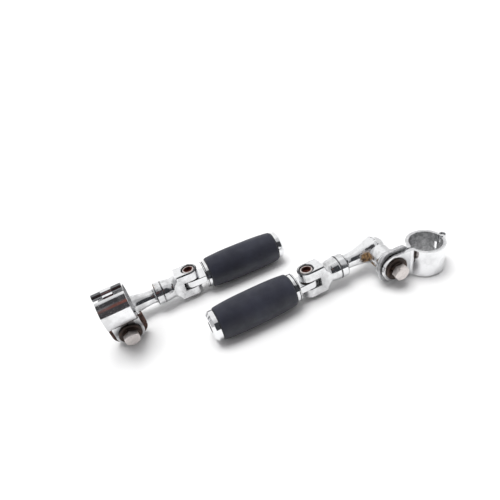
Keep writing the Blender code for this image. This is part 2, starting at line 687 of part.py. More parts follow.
def make_surfaces():
    """The finishes of the pieces."""
    return {
        "chrome": surface("chrome", (0.78, 0.79, 0.80), 0.12, 1.0),
        "rubber": surface("rubber", (0.020, 0.021, 0.024), 0.62, 0.0),
        "worn_zinc": surface("worn_zinc", (0.56, 0.50, 0.48), 0.38, 1.0),
        "dark_steel": surface("dark_steel", (0.07, 0.06, 0.06), 0.45, 1.0),
    }


PIECES = (
    ("clamp_hook_half", make_clamp_hook_half, "chrome", "clamp"),
    ("clamp_tongue_half", make_clamp_tongue_half, "chrome", "clamp"),
    ("clamp_bolt", make_clamp_bolt, "worn_zinc", "clamp"),
    ("lock_washer", make_lock_washer, "dark_steel", "clamp"),
    ("flat_washer", make_flat_washer, "dark_steel", "clamp"),
    ("offset_arm", make_offset_arm, "chrome", "arm_end"),
    ("swivel_set_screw", make_swivel_set_screw, "dark_steel", "arm_end"),
    ("clevis", make_clevis, "chrome", "pivot"),
    ("pivot_screw", make_pivot_screw, "worn_zinc", "pivot"),
    ("pivot_nut", make_pivot_nut, "worn_zinc", "pivot"),
    ("spring_washer", make_spring_washer, "dark_steel", "pivot"),
    ("peg_core", make_peg_core, "chrome", "pivot"),
    ("collar_ring", make_collar_ring, "chrome", "pivot"),
    ("rubber_sleeve", make_rubber_sleeve, "rubber", "pivot"),
    ("end_cap", make_end_cap, "chrome", "pivot"),
    ("end_cap_screw", make_end_cap_screw, "worn_zinc", "pivot"),
)


def frame(name, parent, location, rotation):
    """An empty that carries pieces. The location is in millimetres."""
    made = bpy.data.objects.new(name, None)
    made.empty_display_size = 10 * MM
    made.parent = parent
    made.matrix_local = Matrix.Translation(Vector(location) * MM) @ rotation
    bpy.context.scene.collection.objects.link(made)
    return made


def spin_matrix(degrees, axis):
    """A rotation about one axis."""
    return Matrix.Rotation(math.radians(degrees), 4, axis)


def assembly_frames(side, parent, pivot, angles):
    """Frames on the pivot axis, on the arm's clamp end and in the clamp."""
    lie = spin_matrix(angles["yaw"], "Z") @ spin_matrix(angles["pitch"], "Y") @ spin_matrix(angles["lean"], "X")
    pivot_frame = frame(side + "_pivot_frame", parent, (*pivot, 0), lie)
    arm_frame = frame(side + "_arm_frame", pivot_frame, (0, 0, 0), spin_matrix(angles["arm"], "X"))
    arm_end = frame(side + "_arm_end_frame", arm_frame, (-ARM_REACH, ARM_OFFSET, 0), Matrix.Identity(4))
    swing = spin_matrix(180 - angles["swing"], "Y")
    clamp = frame(side + "_clamp_frame", arm_end, (0, 0, 0), swing)
    return {"pivot": pivot_frame, "arm_end": arm_end, "clamp": clamp}


def bounds(items):
    """Lowest and highest corner of some objects in the world."""
    places = [item.matrix_world @ vert.co for item in items for vert in item.data.vertices]
    low = Vector([min(place[axis] for place in places) for axis in range(3)])
    high = Vector([max(place[axis] for place in places) for axis in range(3)])
    return low, high


def main():
    """Builds both pegs and stands the pair on the floor, centred on the origin."""
    clear_scene()
    surfaces = make_surfaces()
    pair = frame("pair_frame", None, (0, 0, 0), Matrix.Identity(4))
    sides = (("front", FRONT_PIVOT, FRONT_ANGLES), ("rear", REAR_PIVOT, REAR_ANGLES))
    frames = {side: assembly_frames(side, pair, pivot, angles) for side, pivot, angles in sides}
    built = {side: [] for side, _, _ in sides}
    for name, make, finish, place in PIECES:
        pattern = make()
        mesh = pattern.data
        mesh.name = name
        mesh.materials.clear()
        mesh.materials.append(surfaces[finish])
        mesh.shade_smooth()
        mesh.set_sharp_from_angle(angle=math.radians(32))
        bpy.data.objects.remove(pattern, do_unlink=True)
        for side in built:
            item = bpy.data.objects.new(side + "_" + name, mesh)
            item.parent = frames[side][place]
            bpy.context.scene.collection.objects.link(item)
            built[side].append(item)
    bpy.context.view_layer.update()
    for side, items in built.items():
        low, _ = bounds(items)
        frames[side]["pivot"].location.z -= low.z
    bpy.context.view_layer.update()
    low, high = bounds(built["front"] + built["rear"])
    pair.location = (-(low.x + high.x) / 2, -(low.y + high.y) / 2, -low.z)
    bpy.context.view_layer.update()


if __name__ == "__main__":
    main()
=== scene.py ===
"""Dressed scene of a pair of highway pegs on hinged clamps.

Every piece of the packed model is made again here with rounded edges, cast
fillets and its own finish, in the place that the joints of the model give.
Lengths in the functions are in millimetres, in the frames of each peg.
"""

import json
import math

import bmesh
import bpy
import numpy as np
from bpy.props import FloatProperty, FloatVectorProperty, IntProperty, PointerProperty
from bpy.types import Operator, Panel, PropertyGroup
from mathutils import Matrix, Vector


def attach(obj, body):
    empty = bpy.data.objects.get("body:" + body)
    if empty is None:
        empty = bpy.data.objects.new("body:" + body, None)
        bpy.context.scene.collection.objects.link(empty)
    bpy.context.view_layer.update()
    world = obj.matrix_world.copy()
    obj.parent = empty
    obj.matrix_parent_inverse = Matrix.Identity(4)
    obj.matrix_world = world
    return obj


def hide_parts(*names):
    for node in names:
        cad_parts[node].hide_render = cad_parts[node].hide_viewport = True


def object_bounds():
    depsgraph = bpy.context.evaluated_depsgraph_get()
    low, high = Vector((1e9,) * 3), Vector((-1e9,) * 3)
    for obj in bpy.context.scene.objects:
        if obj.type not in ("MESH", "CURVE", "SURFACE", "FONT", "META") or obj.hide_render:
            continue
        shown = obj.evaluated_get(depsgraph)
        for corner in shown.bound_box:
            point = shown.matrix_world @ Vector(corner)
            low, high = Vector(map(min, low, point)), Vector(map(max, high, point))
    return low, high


bl_info = {
    "name": "Highway pegs",
    "version": (1, 0, 0),
    "blender": (4, 5, 0),
    "location": "3D View > Sidebar > Pegs",
    "description": "Makes the detailed pieces and the studio of a pair of highway pegs",
    "category": "Object",
}

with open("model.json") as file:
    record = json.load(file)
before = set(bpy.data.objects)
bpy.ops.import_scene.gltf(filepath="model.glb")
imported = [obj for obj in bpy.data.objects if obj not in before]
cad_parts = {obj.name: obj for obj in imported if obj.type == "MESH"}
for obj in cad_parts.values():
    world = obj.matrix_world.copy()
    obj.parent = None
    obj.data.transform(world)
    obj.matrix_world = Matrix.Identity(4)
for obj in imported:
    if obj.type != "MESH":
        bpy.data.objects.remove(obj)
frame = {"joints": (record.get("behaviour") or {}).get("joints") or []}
CAD_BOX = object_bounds()

MM = 0.001
SIDES = ("front", "rear")
ROUND_STEPS = 96
SMALL_STEPS = 48
MERGE_DISTANCE = 1e-4
SHARP_ANGLE = math.radians(38)
SHADING_WEIGHT = 80

# Clearances, and the threads of the small screws
SEAT_GAP = 0.2
PIN_GAP = 0.3
SLIDE_GAP = 0.4
FINE_THREAD_DEPTH = 0.5
FINE_THREAD_PITCH = 1.0

# Places along the peg's axis, from the pivot outward
FLANGE_START = 14.7
FLANGE_END = 16.1
RING_START = 16.4
RING_END = 20.1
RUBBER_START = 20.3
SHAFT_RADIUS = 9.5
COLLAR_RADIUS = 14.4
CAP_SCREW_SEAT = 100.9
CAP_SCREW_HEAD = 5.4
CAP_SCREW_HEAD_HEIGHT = 4.0
CAP_SCREW_RADIUS = 3.0
CAP_SCREW_LENGTH = 16.0

# Fork, tongue and pivot
FORK_HEIGHT = 30.0
FORK_WIDTH = 18.6
FORK_SLOT = 9.6
FORK_BLOCK_END = 15.0
FORK_FLAT_END = 19.5
TONGUE_RADIUS = 8.8
TONGUE_LOW = -4.5
TONGUE_HIGH = 3.4
SHANK_START = 22.2
SHANK_START_RADIUS = 10.8
SHANK_END = 32.1
SHANK_END_RADIUS = 12.0
SPIGOT_RADIUS = 6.0
SPIGOT_END = 39.1
SPIGOT_GROOVE_DEPTH = 0.8
SPIGOT_GROOVE_HALF = 1.9
PIVOT_RADIUS = 4.5
PIVOT_THREAD_RADIUS = 3.0
PIVOT_HEAD_LOW = 9.2
PIVOT_HEAD_TOP = 14.2
PIVOT_HEAD_RADIUS = 6.2
PIVOT_SOCKET = 7.6
PIVOT_SOCKET_DEPTH = 3.6
COUNTERBORE_RADIUS = 7.6
NUT_SEAT = -9.4
NUT_HEIGHT = 4.2
NUT_SIZE = 10.0
SPRING_WASHER_BORE = 4.8
SPRING_WASHER_RADIUS = 7.6
SPRING_WASHER_THICKNESS = 0.8

# Arm: neck along -X, leg along +Y
ARM_COLLAR_START = 32.3
ARM_COLLAR_END = 40.3
ARM_COLLAR_RADIUS = 12.1
NECK_START = 46.3
NECK_SHIFT = 1.5
ELBOW_SHIFT = 0.6
CAST_GRID = 0.62
FLANGE_THICKNESS = 3.4
ARM_FLANGE_FACE = 27.8
SET_SCREW_RADIUS = 1.5
SET_SCREW_PLACE = 36.3

# Clamp: bolt along Y, tube along Z
EAR_FACE = 4.2
EAR_GAP = 2.0
KNUCKLE_RADIUS = 4.24
KNUCKLE_STANDOFF = 0.16
KNUCKLE_WIDTH = 9.6
LUG_RADIUS = KNUCKLE_RADIUS - 0.7
CROSS_BAR_RADIUS = 2.4
CROSS_BAR_LENGTH = 25.6
NARROW_EAR_RADIUS = 14.2
WIDE_EAR_END = 15.3
WIDE_EAR_HALF = 18.0
WIDE_EAR_SHOULDER = 13.0
WIDE_EAR_SQUARENESS = 2.5
BOLT_HOLE_RADIUS = 5.0
BOLT_END = -19.8
BOLT_RADIUS = 4.7
BOLT_ROOT_RADIUS = 4.0
BOLT_THREAD_DEPTH = 0.7
BOLT_THREAD_LENGTH = 12.0
FLAT_WASHER_LOW = 4.4
FLAT_WASHER_HIGH = 6.0
FLAT_WASHER_RADIUS = 11.6
LOCK_WASHER_LOW = 6.2
LOCK_WASHER_HIGH = 8.2
LOCK_WASHER_RADIUS = 8.4
BOLT_HEAD_LOW = 8.4
BOLT_HEAD_HEIGHT = 5.8
STAIN_RADIUS = 11.8


class PegSizes(PropertyGroup):
    """Sizes of the foot pegs."""

    rubber_length: FloatProperty(
        name="Rubber length", description="Length of the rubber sleeve",
        default=0.0782, min=0.03, unit="LENGTH",
    )
    rubber_end_radius: FloatProperty(
        name="Rubber end radius", description="Radius of the sleeve at its ends",
        default=0.01605, unit="LENGTH",
    )
    rubber_crown_radius: FloatProperty(
        name="Rubber crown radius", description="Radius of the sleeve in the middle",
        default=0.01784, unit="LENGTH",
    )
    rubber_edge: FloatProperty(
        name="Rubber edge", description="Rounding at the ends of the sleeve",
        default=0.0016, unit="LENGTH",
    )
    cap_radius: FloatProperty(
        name="Cap radius", description="Radius of the end cap",
        default=0.015, unit="LENGTH",
    )
    cap_length: FloatProperty(
        name="Cap length", description="Length of the end cap",
        default=0.0076, unit="LENGTH",
    )
    cap_chamfer: FloatProperty(
        name="Cap chamfer", description="Chamfer round the face of the end cap",
        default=0.0028, unit="LENGTH",
    )


class ArmSizes(PropertyGroup):
    """Sizes of the offset arms and their forks."""

    reach: FloatProperty(
        name="Reach", description="From the pivot to the clamp bolt, along the peg",
        default=0.0766, unit="LENGTH",
    )
    offset: FloatProperty(
        name="Offset", description="From the peg's axis to the middle of the clamp",
        default=0.0322, unit="LENGTH",
    )
    neck_radius: FloatProperty(
        name="Neck radius", description="Radius of the neck beside its collar",
        default=0.0075, unit="LENGTH",
    )
    elbow_radius: FloatProperty(
        name="Elbow radius", description="Radius of the ball at the corner",
        default=0.0133, unit="LENGTH",
    )
    leg_radius: FloatProperty(
        name="Leg radius", description="Radius of the leg behind the flange",
        default=0.0116, unit="LENGTH",
    )
    flange_radius: FloatProperty(
        name="Flange radius", description="Radius of the flange against the clamp",
        default=0.0152, unit="LENGTH",
    )
    cast_fillet: FloatProperty(
        name="Cast fillet", description="Width of the fillets between neck, ball and leg",
        default=0.004, unit="LENGTH",
    )


class ClampSizes(PropertyGroup):
    """Sizes of the tube clamps and their bolts."""

    tube_bore: FloatProperty(
        name="Tube bore", description="Diameter of the tube that the clamp takes",
        default=0.0318, unit="LENGTH",
    )
    wall: FloatProperty(
        name="Wall", description="Thickness of the strap",
        default=0.0032, unit="LENGTH",
    )
    width: FloatProperty(
        name="Width", description="Width of the strap along the tube",
        default=0.028, unit="LENGTH",
    )
    reach: FloatProperty(
        name="Reach", description="From the bolt to the middle of the tube",
        default=0.0376, unit="LENGTH",
    )
    edge: FloatProperty(
        name="Edge", description="Rounding of the strap's edges",
        default=0.0008, unit="LENGTH",
    )
    bolt_hex: FloatProperty(
        name="Bolt head size", description="Width across the flats of the bolt's head",
        default=0.0143, unit="LENGTH",
    )
    thread_pitch: FloatProperty(
        name="Thread pitch", description="Pitch of the clamp bolt's thread",
        default=0.0015, unit="LENGTH",
    )
    thread_facets: IntProperty(
        name="Thread facets", description="Facets in one turn of a thread",
        default=28, min=8, max=64,
    )


class FinishColours(PropertyGroup):
    """Colours of the finishes."""

    chrome: FloatVectorProperty(
        name="Chrome", description="Colour of the plating",
        subtype="COLOR", default=(0.87, 0.875, 0.885),
    )
    rubber: FloatVectorProperty(
        name="Rubber", description="Colour of the sleeves",
        subtype="COLOR", default=(0.0125, 0.0138, 0.0240),
    )
    bolt: FloatVectorProperty(
        name="Bolt", description="Colour of the worn bolt heads",
        subtype="COLOR", default=(0.68, 0.635, 0.615),
    )
    washer: FloatVectorProperty(
        name="Washer", description="Colour of the blackened washers",
        subtype="COLOR", default=(0.045, 0.036, 0.033),
    )
    rust: FloatVectorProperty(
        name="Rust", description="Colour of dry rust",
        subtype="COLOR", default=(0.108, 0.054, 0.041),
    )


class StudioSettings(PropertyGroup):
    """Light and floor of the studio."""

    key_strength: FloatProperty(
        name="Key strength", description="Strength of the soft light from above",
        default=2.35, min=0.0,
    )
    key_softness: FloatProperty(
        name="Key softness", description="Angle that the soft light fills",
        default=math.radians(38), subtype="ANGLE",
    )
    room_light: FloatProperty(
        name="Room light", description="Strength of the white room",
        default=1.0, min=0.0,
    )
    floor: FloatVectorProperty(
        name="Floor", description="Colour of the floor",
        subtype="COLOR", default=(0.84, 0.84, 0.84),
    )


def in_mm(value):
    """A property's length in millimetres."""
    return value * 1000


# Flat outlines and profiles


def arc(centre, radius, start, end, steps):
    """Points on an arc, with the angles in degrees."""
    points = []
    for step in range(steps + 1):
        angle = math.radians(start + (end - start) * step / steps)
        points.append((centre[0] + radius * math.cos(angle), centre[1] + radius * math.sin(angle)))
    return points


def hexagon(across):
    """Outline of a hexagon with this size across its flats."""
    return arc((0, 0), across / math.sqrt(3), 0, 300, 5)


def rounded(corners, closed=False, steps=4):
    """Rounds the corners of a profile, where each corner may end in the radius of its rounding."""
    places = [Vector(corner[:2]) for corner in corners]
    points = []
    for index, corner in enumerate(corners):
        at_end = not closed and index in (0, len(corners) - 1)
        if len(corner) == 2 or at_end:
            points.append(tuple(places[index]))
            continue
        here = places[index]
        back = places[index - 1] - here
        ahead = places[(index + 1) % len(places)] - here
        half = back.angle(ahead) / 2
        reach = min(corner[2] / math.tan(half), 0.49 * back.length, 0.49 * ahead.length)
        radius = reach * math.tan(half)
        back.normalize()
        ahead.normalize()
        centre = here + (back + ahead).normalized() * radius / math.sin(half)
        first = here + back * reach - centre
        last = here + ahead * reach - centre
        sweep = first.angle(last)
        for step in range(steps + 1):
            share = step / steps
            spoke = first * math.sin((1 - share) * sweep) + last * math.sin(share * sweep)
            points.append(tuple(centre + spoke / math.sin(sweep)))
    return points


# Solid pieces


def make_object(name, bm):
    """Turns a bmesh into an object."""
    bmesh.ops.remove_doubles(bm, verts=bm.verts, dist=MERGE_DISTANCE)
    bmesh.ops.recalc_face_normals(bm, faces=bm.faces)
    mesh = bpy.data.meshes.new(name)
    bm.to_mesh(mesh)
    bm.free()
    made = bpy.data.objects.new(name, mesh)
    bpy.context.scene.collection.objects.link(made)
    return made


def turned(name, profile, steps=ROUND_STEPS, closed=False):
    """Turns a profile of (radius, height) about Z. A closed profile makes a ring."""
    bm = bmesh.new()
    verts = [bm.verts.new((max(radius, 0.0), 0.0, height)) for radius, height in profile]
    edges = [bm.edges.new(pair) for pair in zip(verts, verts[1:])]
    if closed:
        edges.append(bm.edges.new((verts[-1], verts[0])))
    bmesh.ops.spin(
        bm, geom=verts + edges, cent=(0, 0, 0), axis=(0, 0, 1),
        angle=math.tau, steps=steps, use_merge=True,
    )
    bmesh.ops.remove_doubles(bm, verts=bm.verts, dist=MERGE_DISTANCE)
    bmesh.ops.dissolve_degenerate(bm, edges=bm.edges, dist=MERGE_DISTANCE)
    return make_object(name, bm)


def prism(name, outline, low, high):
    """Extrudes a flat outline along Z."""
    bm = bmesh.new()
    face = bm.faces.new([bm.verts.new((x, y, low)) for x, y in outline])
    lifted = bmesh.ops.extrude_face_region(bm, geom=[face])["geom"]
    tops = [item for item in lifted if isinstance(item, bmesh.types.BMVert)]
    bmesh.ops.translate(bm, vec=(0, 0, high - low), verts=tops)
    return make_object(name, bm)


def rod(name, radius, low, high, steps=SMALL_STEPS):
    """A plain cylinder along Z."""
    return turned(name, [(0, low), (radius, low), (radius, high), (0, high)], steps)


def block(name, low, high):
    """A block between two corners."""
    outline = [(low[0], low[1]), (high[0], low[1]), (high[0], high[1]), (low[0], high[1])]
    return prism(name, outline, low[2], high[2])


def turn(item, axis, degrees, offset=(0, 0, 0)):
    """Turns the mesh of an object about an axis through the origin, then shifts it."""
    item.data.transform(Matrix.Translation(offset) @ Matrix.Rotation(math.radians(degrees), 4, axis))
    return item


def shift(item, offset):
    """Shifts the mesh of an object."""
    item.data.transform(Matrix.Translation(offset))
    return item


def along_x(item):
    """Lays a piece that was turned about Z along +X."""
    return turn(item, "Y", 90)


def along_y(item):
    """Lays a piece that was turned about Z along +Y."""
    return turn(item, "X", -90)


def drop(item):
    """Removes a helper object and its mesh."""
    mesh = item.data
    bpy.data.objects.remove(item, do_unlink=True)
    bpy.data.meshes.remove(mesh)


def bake(item):
    """Replaces the mesh of an object by what its modifiers make of it."""
    graph = bpy.context.evaluated_depsgraph_get()
    mesh = bpy.data.meshes.new_from_object(item.evaluated_get(graph))
    item.modifiers.clear()
    old = item.data
    item.data = mesh
    bpy.data.meshes.remove(old)
    return item


def combine(item, others, operation):
    """Joins pieces to an object, or cuts them from it."""
    for other in others:
        change = item.modifiers.new(operation.lower(), "BOOLEAN")
        change.operation = operation
        change.solver = "EXACT"
        change.object = other
        bake(item)
        drop(other)
    return item


def soften(item, width, segments=3, angle=32):
    """Rounds the sharp edges of an object."""
    bevel = item.modifiers.new("rounding", "BEVEL")
    bevel.width = width
    bevel.segments = segments
    bevel.limit_method = "ANGLE"
    bevel.angle_limit = math.radians(angle)
    bevel.miter_outer = "MITER_ARC"
    return bake(item)


# Geometry node trees


class Nodes:
    """Adds and links the nodes of one tree."""

    def __init__(self, tree):
        self.tree = tree

    def add(self, kind, inputs=None, **settings):
        """Adds a node. An input is a number, a colour, or the output that feeds it."""
        node = self.tree.nodes.new(kind)
        for key, value in settings.items():
            setattr(node, key, value)
        for key, value in (inputs or {}).items():
            if isinstance(value, bpy.types.NodeSocket):
                self.link(value, node.inputs[key])
            else:
                node.inputs[key].default_value = value
        return node

    def link(self, value, socket):
        """Feeds an output to a socket."""
        self.tree.links.new(value, socket)

    def math(self, operation, first, second=0.0, third=0.0):
        """A Math node in either kind of tree."""
        inputs = {0: first, 1: second, 2: third}
        return self.add("ShaderNodeMath", inputs, operation=operation).outputs[0]


def geometry_tree(name, sizes):
    """Starts a geometry node tree with named number inputs."""
    tree = bpy.data.node_groups.new(name, "GeometryNodeTree")
    for label, kind, default in sizes:
        socket = tree.interface.new_socket(label, in_out="INPUT", socket_type=kind)
        socket.default_value = default
    tree.interface.new_socket("Surface", in_out="INPUT", socket_type="NodeSocketMaterial")
    tree.interface.new_socket("Mesh", in_out="OUTPUT", socket_type="NodeSocketGeometry")
    nodes = Nodes(tree)
    return nodes, nodes.add("NodeGroupInput").outputs


def close_tree(nodes, geometry, given):
    """Ends a tree in Realize Instances and Set Material."""
    real = nodes.add("GeometryNodeRealizeInstances", {"Geometry": geometry}).outputs[0]
    inputs = {"Geometry": real, "Material": given["Surface"]}
    final = nodes.add("GeometryNodeSetMaterial", inputs).outputs[0]
    nodes.add("NodeGroupOutput", {"Mesh": final})
    return nodes.tree


def grow(name, tree, values):
    """Runs a geometry node tree with these inputs and returns its result as a plain object."""
    made = bpy.data.objects.new(name, bpy.data.meshes.new(name))
    bpy.context.scene.collection.objects.link(made)
    change = made.modifiers.new("grow", "NODES")
    change.node_group = tree
    for item in tree.interface.items_tree:
        if item.in_out == "INPUT" and item.name in values:
            change[item.identifier] = values[item.name]
    bake(made)
    if not made.data.polygons:
        raise RuntimeError(name + " came out of its node tree empty")
    return made


def sleeve_tree():
    """Barrel sleeve: a straight line given the rule of the barrel, swept by a circle and bored."""
    kinds = [
        ("Start", "NodeSocketFloat", 20.3),
        ("Length", "NodeSocketFloat", 78.2),
        ("End Radius", "NodeSocketFloat", 16.1),
        ("Crown Radius", "NodeSocketFloat", 17.9),
        ("Edge", "NodeSocketFloat", 1.6),
        ("Bore Radius", "NodeSocketFloat", 9.8),
        ("Rings", "NodeSocketInt", 120),
        ("Facets", "NodeSocketInt", 128),
    ]
    nodes, given = geometry_tree("barrel_sleeve", kinds)
    line = nodes.add("GeometryNodeCurvePrimitiveLine", {"End": (1.0, 0.0, 0.0)}).outputs[0]
    even = nodes.add("GeometryNodeResampleCurve", {"Curve": line, "Count": given["Rings"]}).outputs[0]
    index = nodes.add("GeometryNodeInputIndex").outputs[0]
    share = nodes.math("DIVIDE", index, nodes.math("SUBTRACT", given["Rings"], 1.0))
    turned_share = nodes.math("MULTIPLY", share, math.pi)
    swing = nodes.math("COSINE", turned_share)
    eased = nodes.math("MULTIPLY_ADD", swing, -0.5, 0.5)
    place = nodes.math("MULTIPLY_ADD", eased, given["Length"], given["Start"])
    point = nodes.add("ShaderNodeCombineXYZ", {"X": place}).outputs[0]
    spaced = nodes.add("GeometryNodeSetPosition", {"Geometry": even, "Position": point}).outputs[0]
    away = nodes.math("ABSOLUTE", nodes.math("MULTIPLY_ADD", eased, 2.0, -1.0))
    cubed = nodes.math("POWER", away, 3.0)
    swell = nodes.math("SUBTRACT", given["Crown Radius"], given["End Radius"])
    drop_in = nodes.math("MULTIPLY", swell, nodes.math("SUBTRACT", 1.0, cubed))
    barrel = nodes.math("ADD", given["End Radius"], drop_in)
    from_end = nodes.math("MULTIPLY", nodes.math("MULTIPLY_ADD", away, -0.5, 0.5), given["Length"])
    inside = nodes.math("MINIMUM", nodes.math("DIVIDE", from_end, given["Edge"]), 1.0)
    short = nodes.math("SUBTRACT", 1.0, inside)
    squared = nodes.math("SUBTRACT", 1.0, nodes.math("POWER", short, 2.0))
    rise = nodes.math("SQRT", nodes.math("MAXIMUM", squared, 0.0))
    cut_back = nodes.math("MULTIPLY", given["Edge"], nodes.math("SUBTRACT", 1.0, rise))
    radius = nodes.math("SUBTRACT", barrel, cut_back)
    circle = nodes.add(
        "GeometryNodeCurvePrimitiveCircle", {"Resolution": given["Facets"], "Radius": 1.0}
    ).outputs[0]
    swept = nodes.add(
        "GeometryNodeCurveToMesh",
        {"Curve": spaced, "Profile Curve": circle, "Scale": radius, "Fill Caps": True},
    ).outputs[0]
    long_bore = nodes.math("MULTIPLY", given["Length"], 2.0)
    drill = nodes.add(
        "GeometryNodeMeshCylinder", {"Vertices": 64, "Radius": given["Bore Radius"], "Depth": long_bore}
    ).outputs[0]
    middle = nodes.math("MULTIPLY_ADD", given["Length"], 0.5, given["Start"])
    centre = nodes.add("ShaderNodeCombineXYZ", {"X": middle}).outputs[0]
    laid = nodes.add("GeometryNodeTransform", {
        "Geometry": drill, "Translation": centre, "Rotation": (0.0, math.pi / 2, 0.0),
    }).outputs[0]
    cut = nodes.add("GeometryNodeMeshBoolean", operation="DIFFERENCE", solver="EXACT")
    nodes.link(swept, cut.inputs[0])
    nodes.link(laid, cut.inputs[1])
    return close_tree(nodes, cut.outputs[0], given)


def thread_tree():
    """Screw thread: a triangle swept along a helix, round a core."""
    kinds = [
        ("Radius", "NodeSocketFloat", 4.7),
        ("Depth", "NodeSocketFloat", 0.7),
        ("Pitch", "NodeSocketFloat", 1.5),
        ("Length", "NodeSocketFloat", 12.0),
        ("Facets", "NodeSocketInt", 28),
    ]
    nodes, given = geometry_tree("screw_thread", kinds)
    run = nodes.math("SUBTRACT", given["Length"], given["Pitch"])
    turns = nodes.math("DIVIDE", run, given["Pitch"])
    root = nodes.math("SUBTRACT", given["Radius"], nodes.math("MULTIPLY", given["Depth"], 0.7))
    helix = nodes.add("GeometryNodeCurveSpiral", {
        "Resolution": given["Facets"], "Rotations": turns,
        "Start Radius": root, "End Radius": root, "Height": run,
    }).outputs[0]
    upright = nodes.add("GeometryNodeSetCurveNormal", {"Curve": helix}, mode="Z_UP").outputs[0]
    size = nodes.math("MULTIPLY", given["Depth"], 0.66)
    ridge = nodes.add("GeometryNodeCurvePrimitiveCircle", {"Resolution": 3, "Radius": size}).outputs[0]
    swept = nodes.add(
        "GeometryNodeCurveToMesh", {"Curve": upright, "Profile Curve": ridge, "Fill Caps": True}
    ).outputs[0]
    start = nodes.math("MULTIPLY", given["Pitch"], 0.5)
    lift = nodes.add("ShaderNodeCombineXYZ", {"Z": start}).outputs[0]
    lifted = nodes.add("GeometryNodeTransform", {"Geometry": swept, "Translation": lift}).outputs[0]
    return close_tree(nodes, lifted, given)


# The pieces, each made once in its own frame and in millimetres, from the scene's sizes


def make_rubber_sleeve(scene):
    """Barrel shaped sleeve with rounded ends."""
    sizes = scene.peg_sizes
    values = {
        "Start": RUBBER_START,
        "Length": in_mm(sizes.rubber_length),
        "End Radius": in_mm(sizes.rubber_end_radius),
        "Crown Radius": in_mm(sizes.rubber_crown_radius),
        "Edge": in_mm(sizes.rubber_edge),
        "Bore Radius": SHAFT_RADIUS + PIN_GAP,
    }
    return grow("rubber_sleeve", sleeve_tree(), values)


def make_peg_core(scene):
    """Tongue, thin flange and shaft in one piece."""
    shaft_end = RUBBER_START + in_mm(scene.peg_sizes.rubber_length)
    core = along_x(turned("peg_core", rounded([
        (0, FLANGE_START),
        (COLLAR_RADIUS, FLANGE_START, 0.5),
        (COLLAR_RADIUS, FLANGE_END, 0.25),
        (SHAFT_RADIUS, FLANGE_END),
        (SHAFT_RADIUS, shaft_end),
        (0, shaft_end),
    ])))
    tongue_end = FLANGE_START + 0.7
    outline = arc((0, 0), TONGUE_RADIUS, 90, 270, SMALL_STEPS)
    outline += [(tongue_end, -TONGUE_RADIUS), (tongue_end, TONGUE_RADIUS)]
    tongue = prism("tongue", outline, TONGUE_LOW, TONGUE_HIGH)
    soften(tongue, 0.5)
    combine(core, [tongue], "UNION")
    pin_hole = rod("pin_hole", PIVOT_RADIUS + PIN_GAP, -FORK_HEIGHT, FORK_HEIGHT)
    tip = CAP_SCREW_SEAT - CAP_SCREW_LENGTH
    screw_hole = along_x(rod("screw_hole", CAP_SCREW_RADIUS + SEAT_GAP, tip - 1, CAP_SCREW_SEAT + 9))
    return combine(core, [pin_hole, screw_hole], "DIFFERENCE")


def make_collar_ring(scene):
    """Ring between the flange and the rubber."""
    bore = SHAFT_RADIUS + SEAT_GAP
    return along_x(turned("collar_ring", rounded([
        (bore, RING_START),
        (COLLAR_RADIUS, RING_START, 0.45),
        (COLLAR_RADIUS, RING_END, 0.45),
        (bore, RING_END),
    ], closed=True), closed=True))


def make_end_cap(scene):
    """Chamfered cap with a recess for its screw."""
    sizes = scene.peg_sizes
    radius, chamfer = in_mm(sizes.cap_radius), in_mm(sizes.cap_chamfer)
    start = RUBBER_START + in_mm(sizes.rubber_length) + SEAT_GAP
    end = start + in_mm(sizes.cap_length)
    recess = CAP_SCREW_HEAD + PIN_GAP
    bore = CAP_SCREW_RADIUS + SEAT_GAP
    return along_x(turned("end_cap", rounded([
        (bore, start),
        (radius, start, 0.5),
        (radius, end - chamfer, 0.45),
        (radius - chamfer, end, 0.45),
        (recess, end, 0.3),
        (recess, CAP_SCREW_SEAT),
        (bore, CAP_SCREW_SEAT),
    ], closed=True), closed=True))


def make_end_cap_screw(scene):
    """Socket screw in the middle of the cap."""
    low = CAP_SCREW_SEAT + SEAT_GAP
    high = low + CAP_SCREW_HEAD_HEIGHT
    tip = CAP_SCREW_SEAT - CAP_SCREW_LENGTH
    root = CAP_SCREW_RADIUS - FINE_THREAD_DEPTH
    screw = turned("end_cap_screw", rounded([
        (0, tip),
        (root, tip),
        (root, low),
        (CAP_SCREW_HEAD, low, 0.2),
        (CAP_SCREW_HEAD, high, 0.6),
        (0, high),
    ]), SMALL_STEPS)
    combine(screw, [prism("socket", hexagon(CAP_SCREW_HEAD), high - 2.4, high + 1)], "DIFFERENCE")
    soften(screw, 0.12, 2, 50)
    return along_x(fine_thread(screw, CAP_SCREW_RADIUS, tip, low - tip - 0.6, scene))


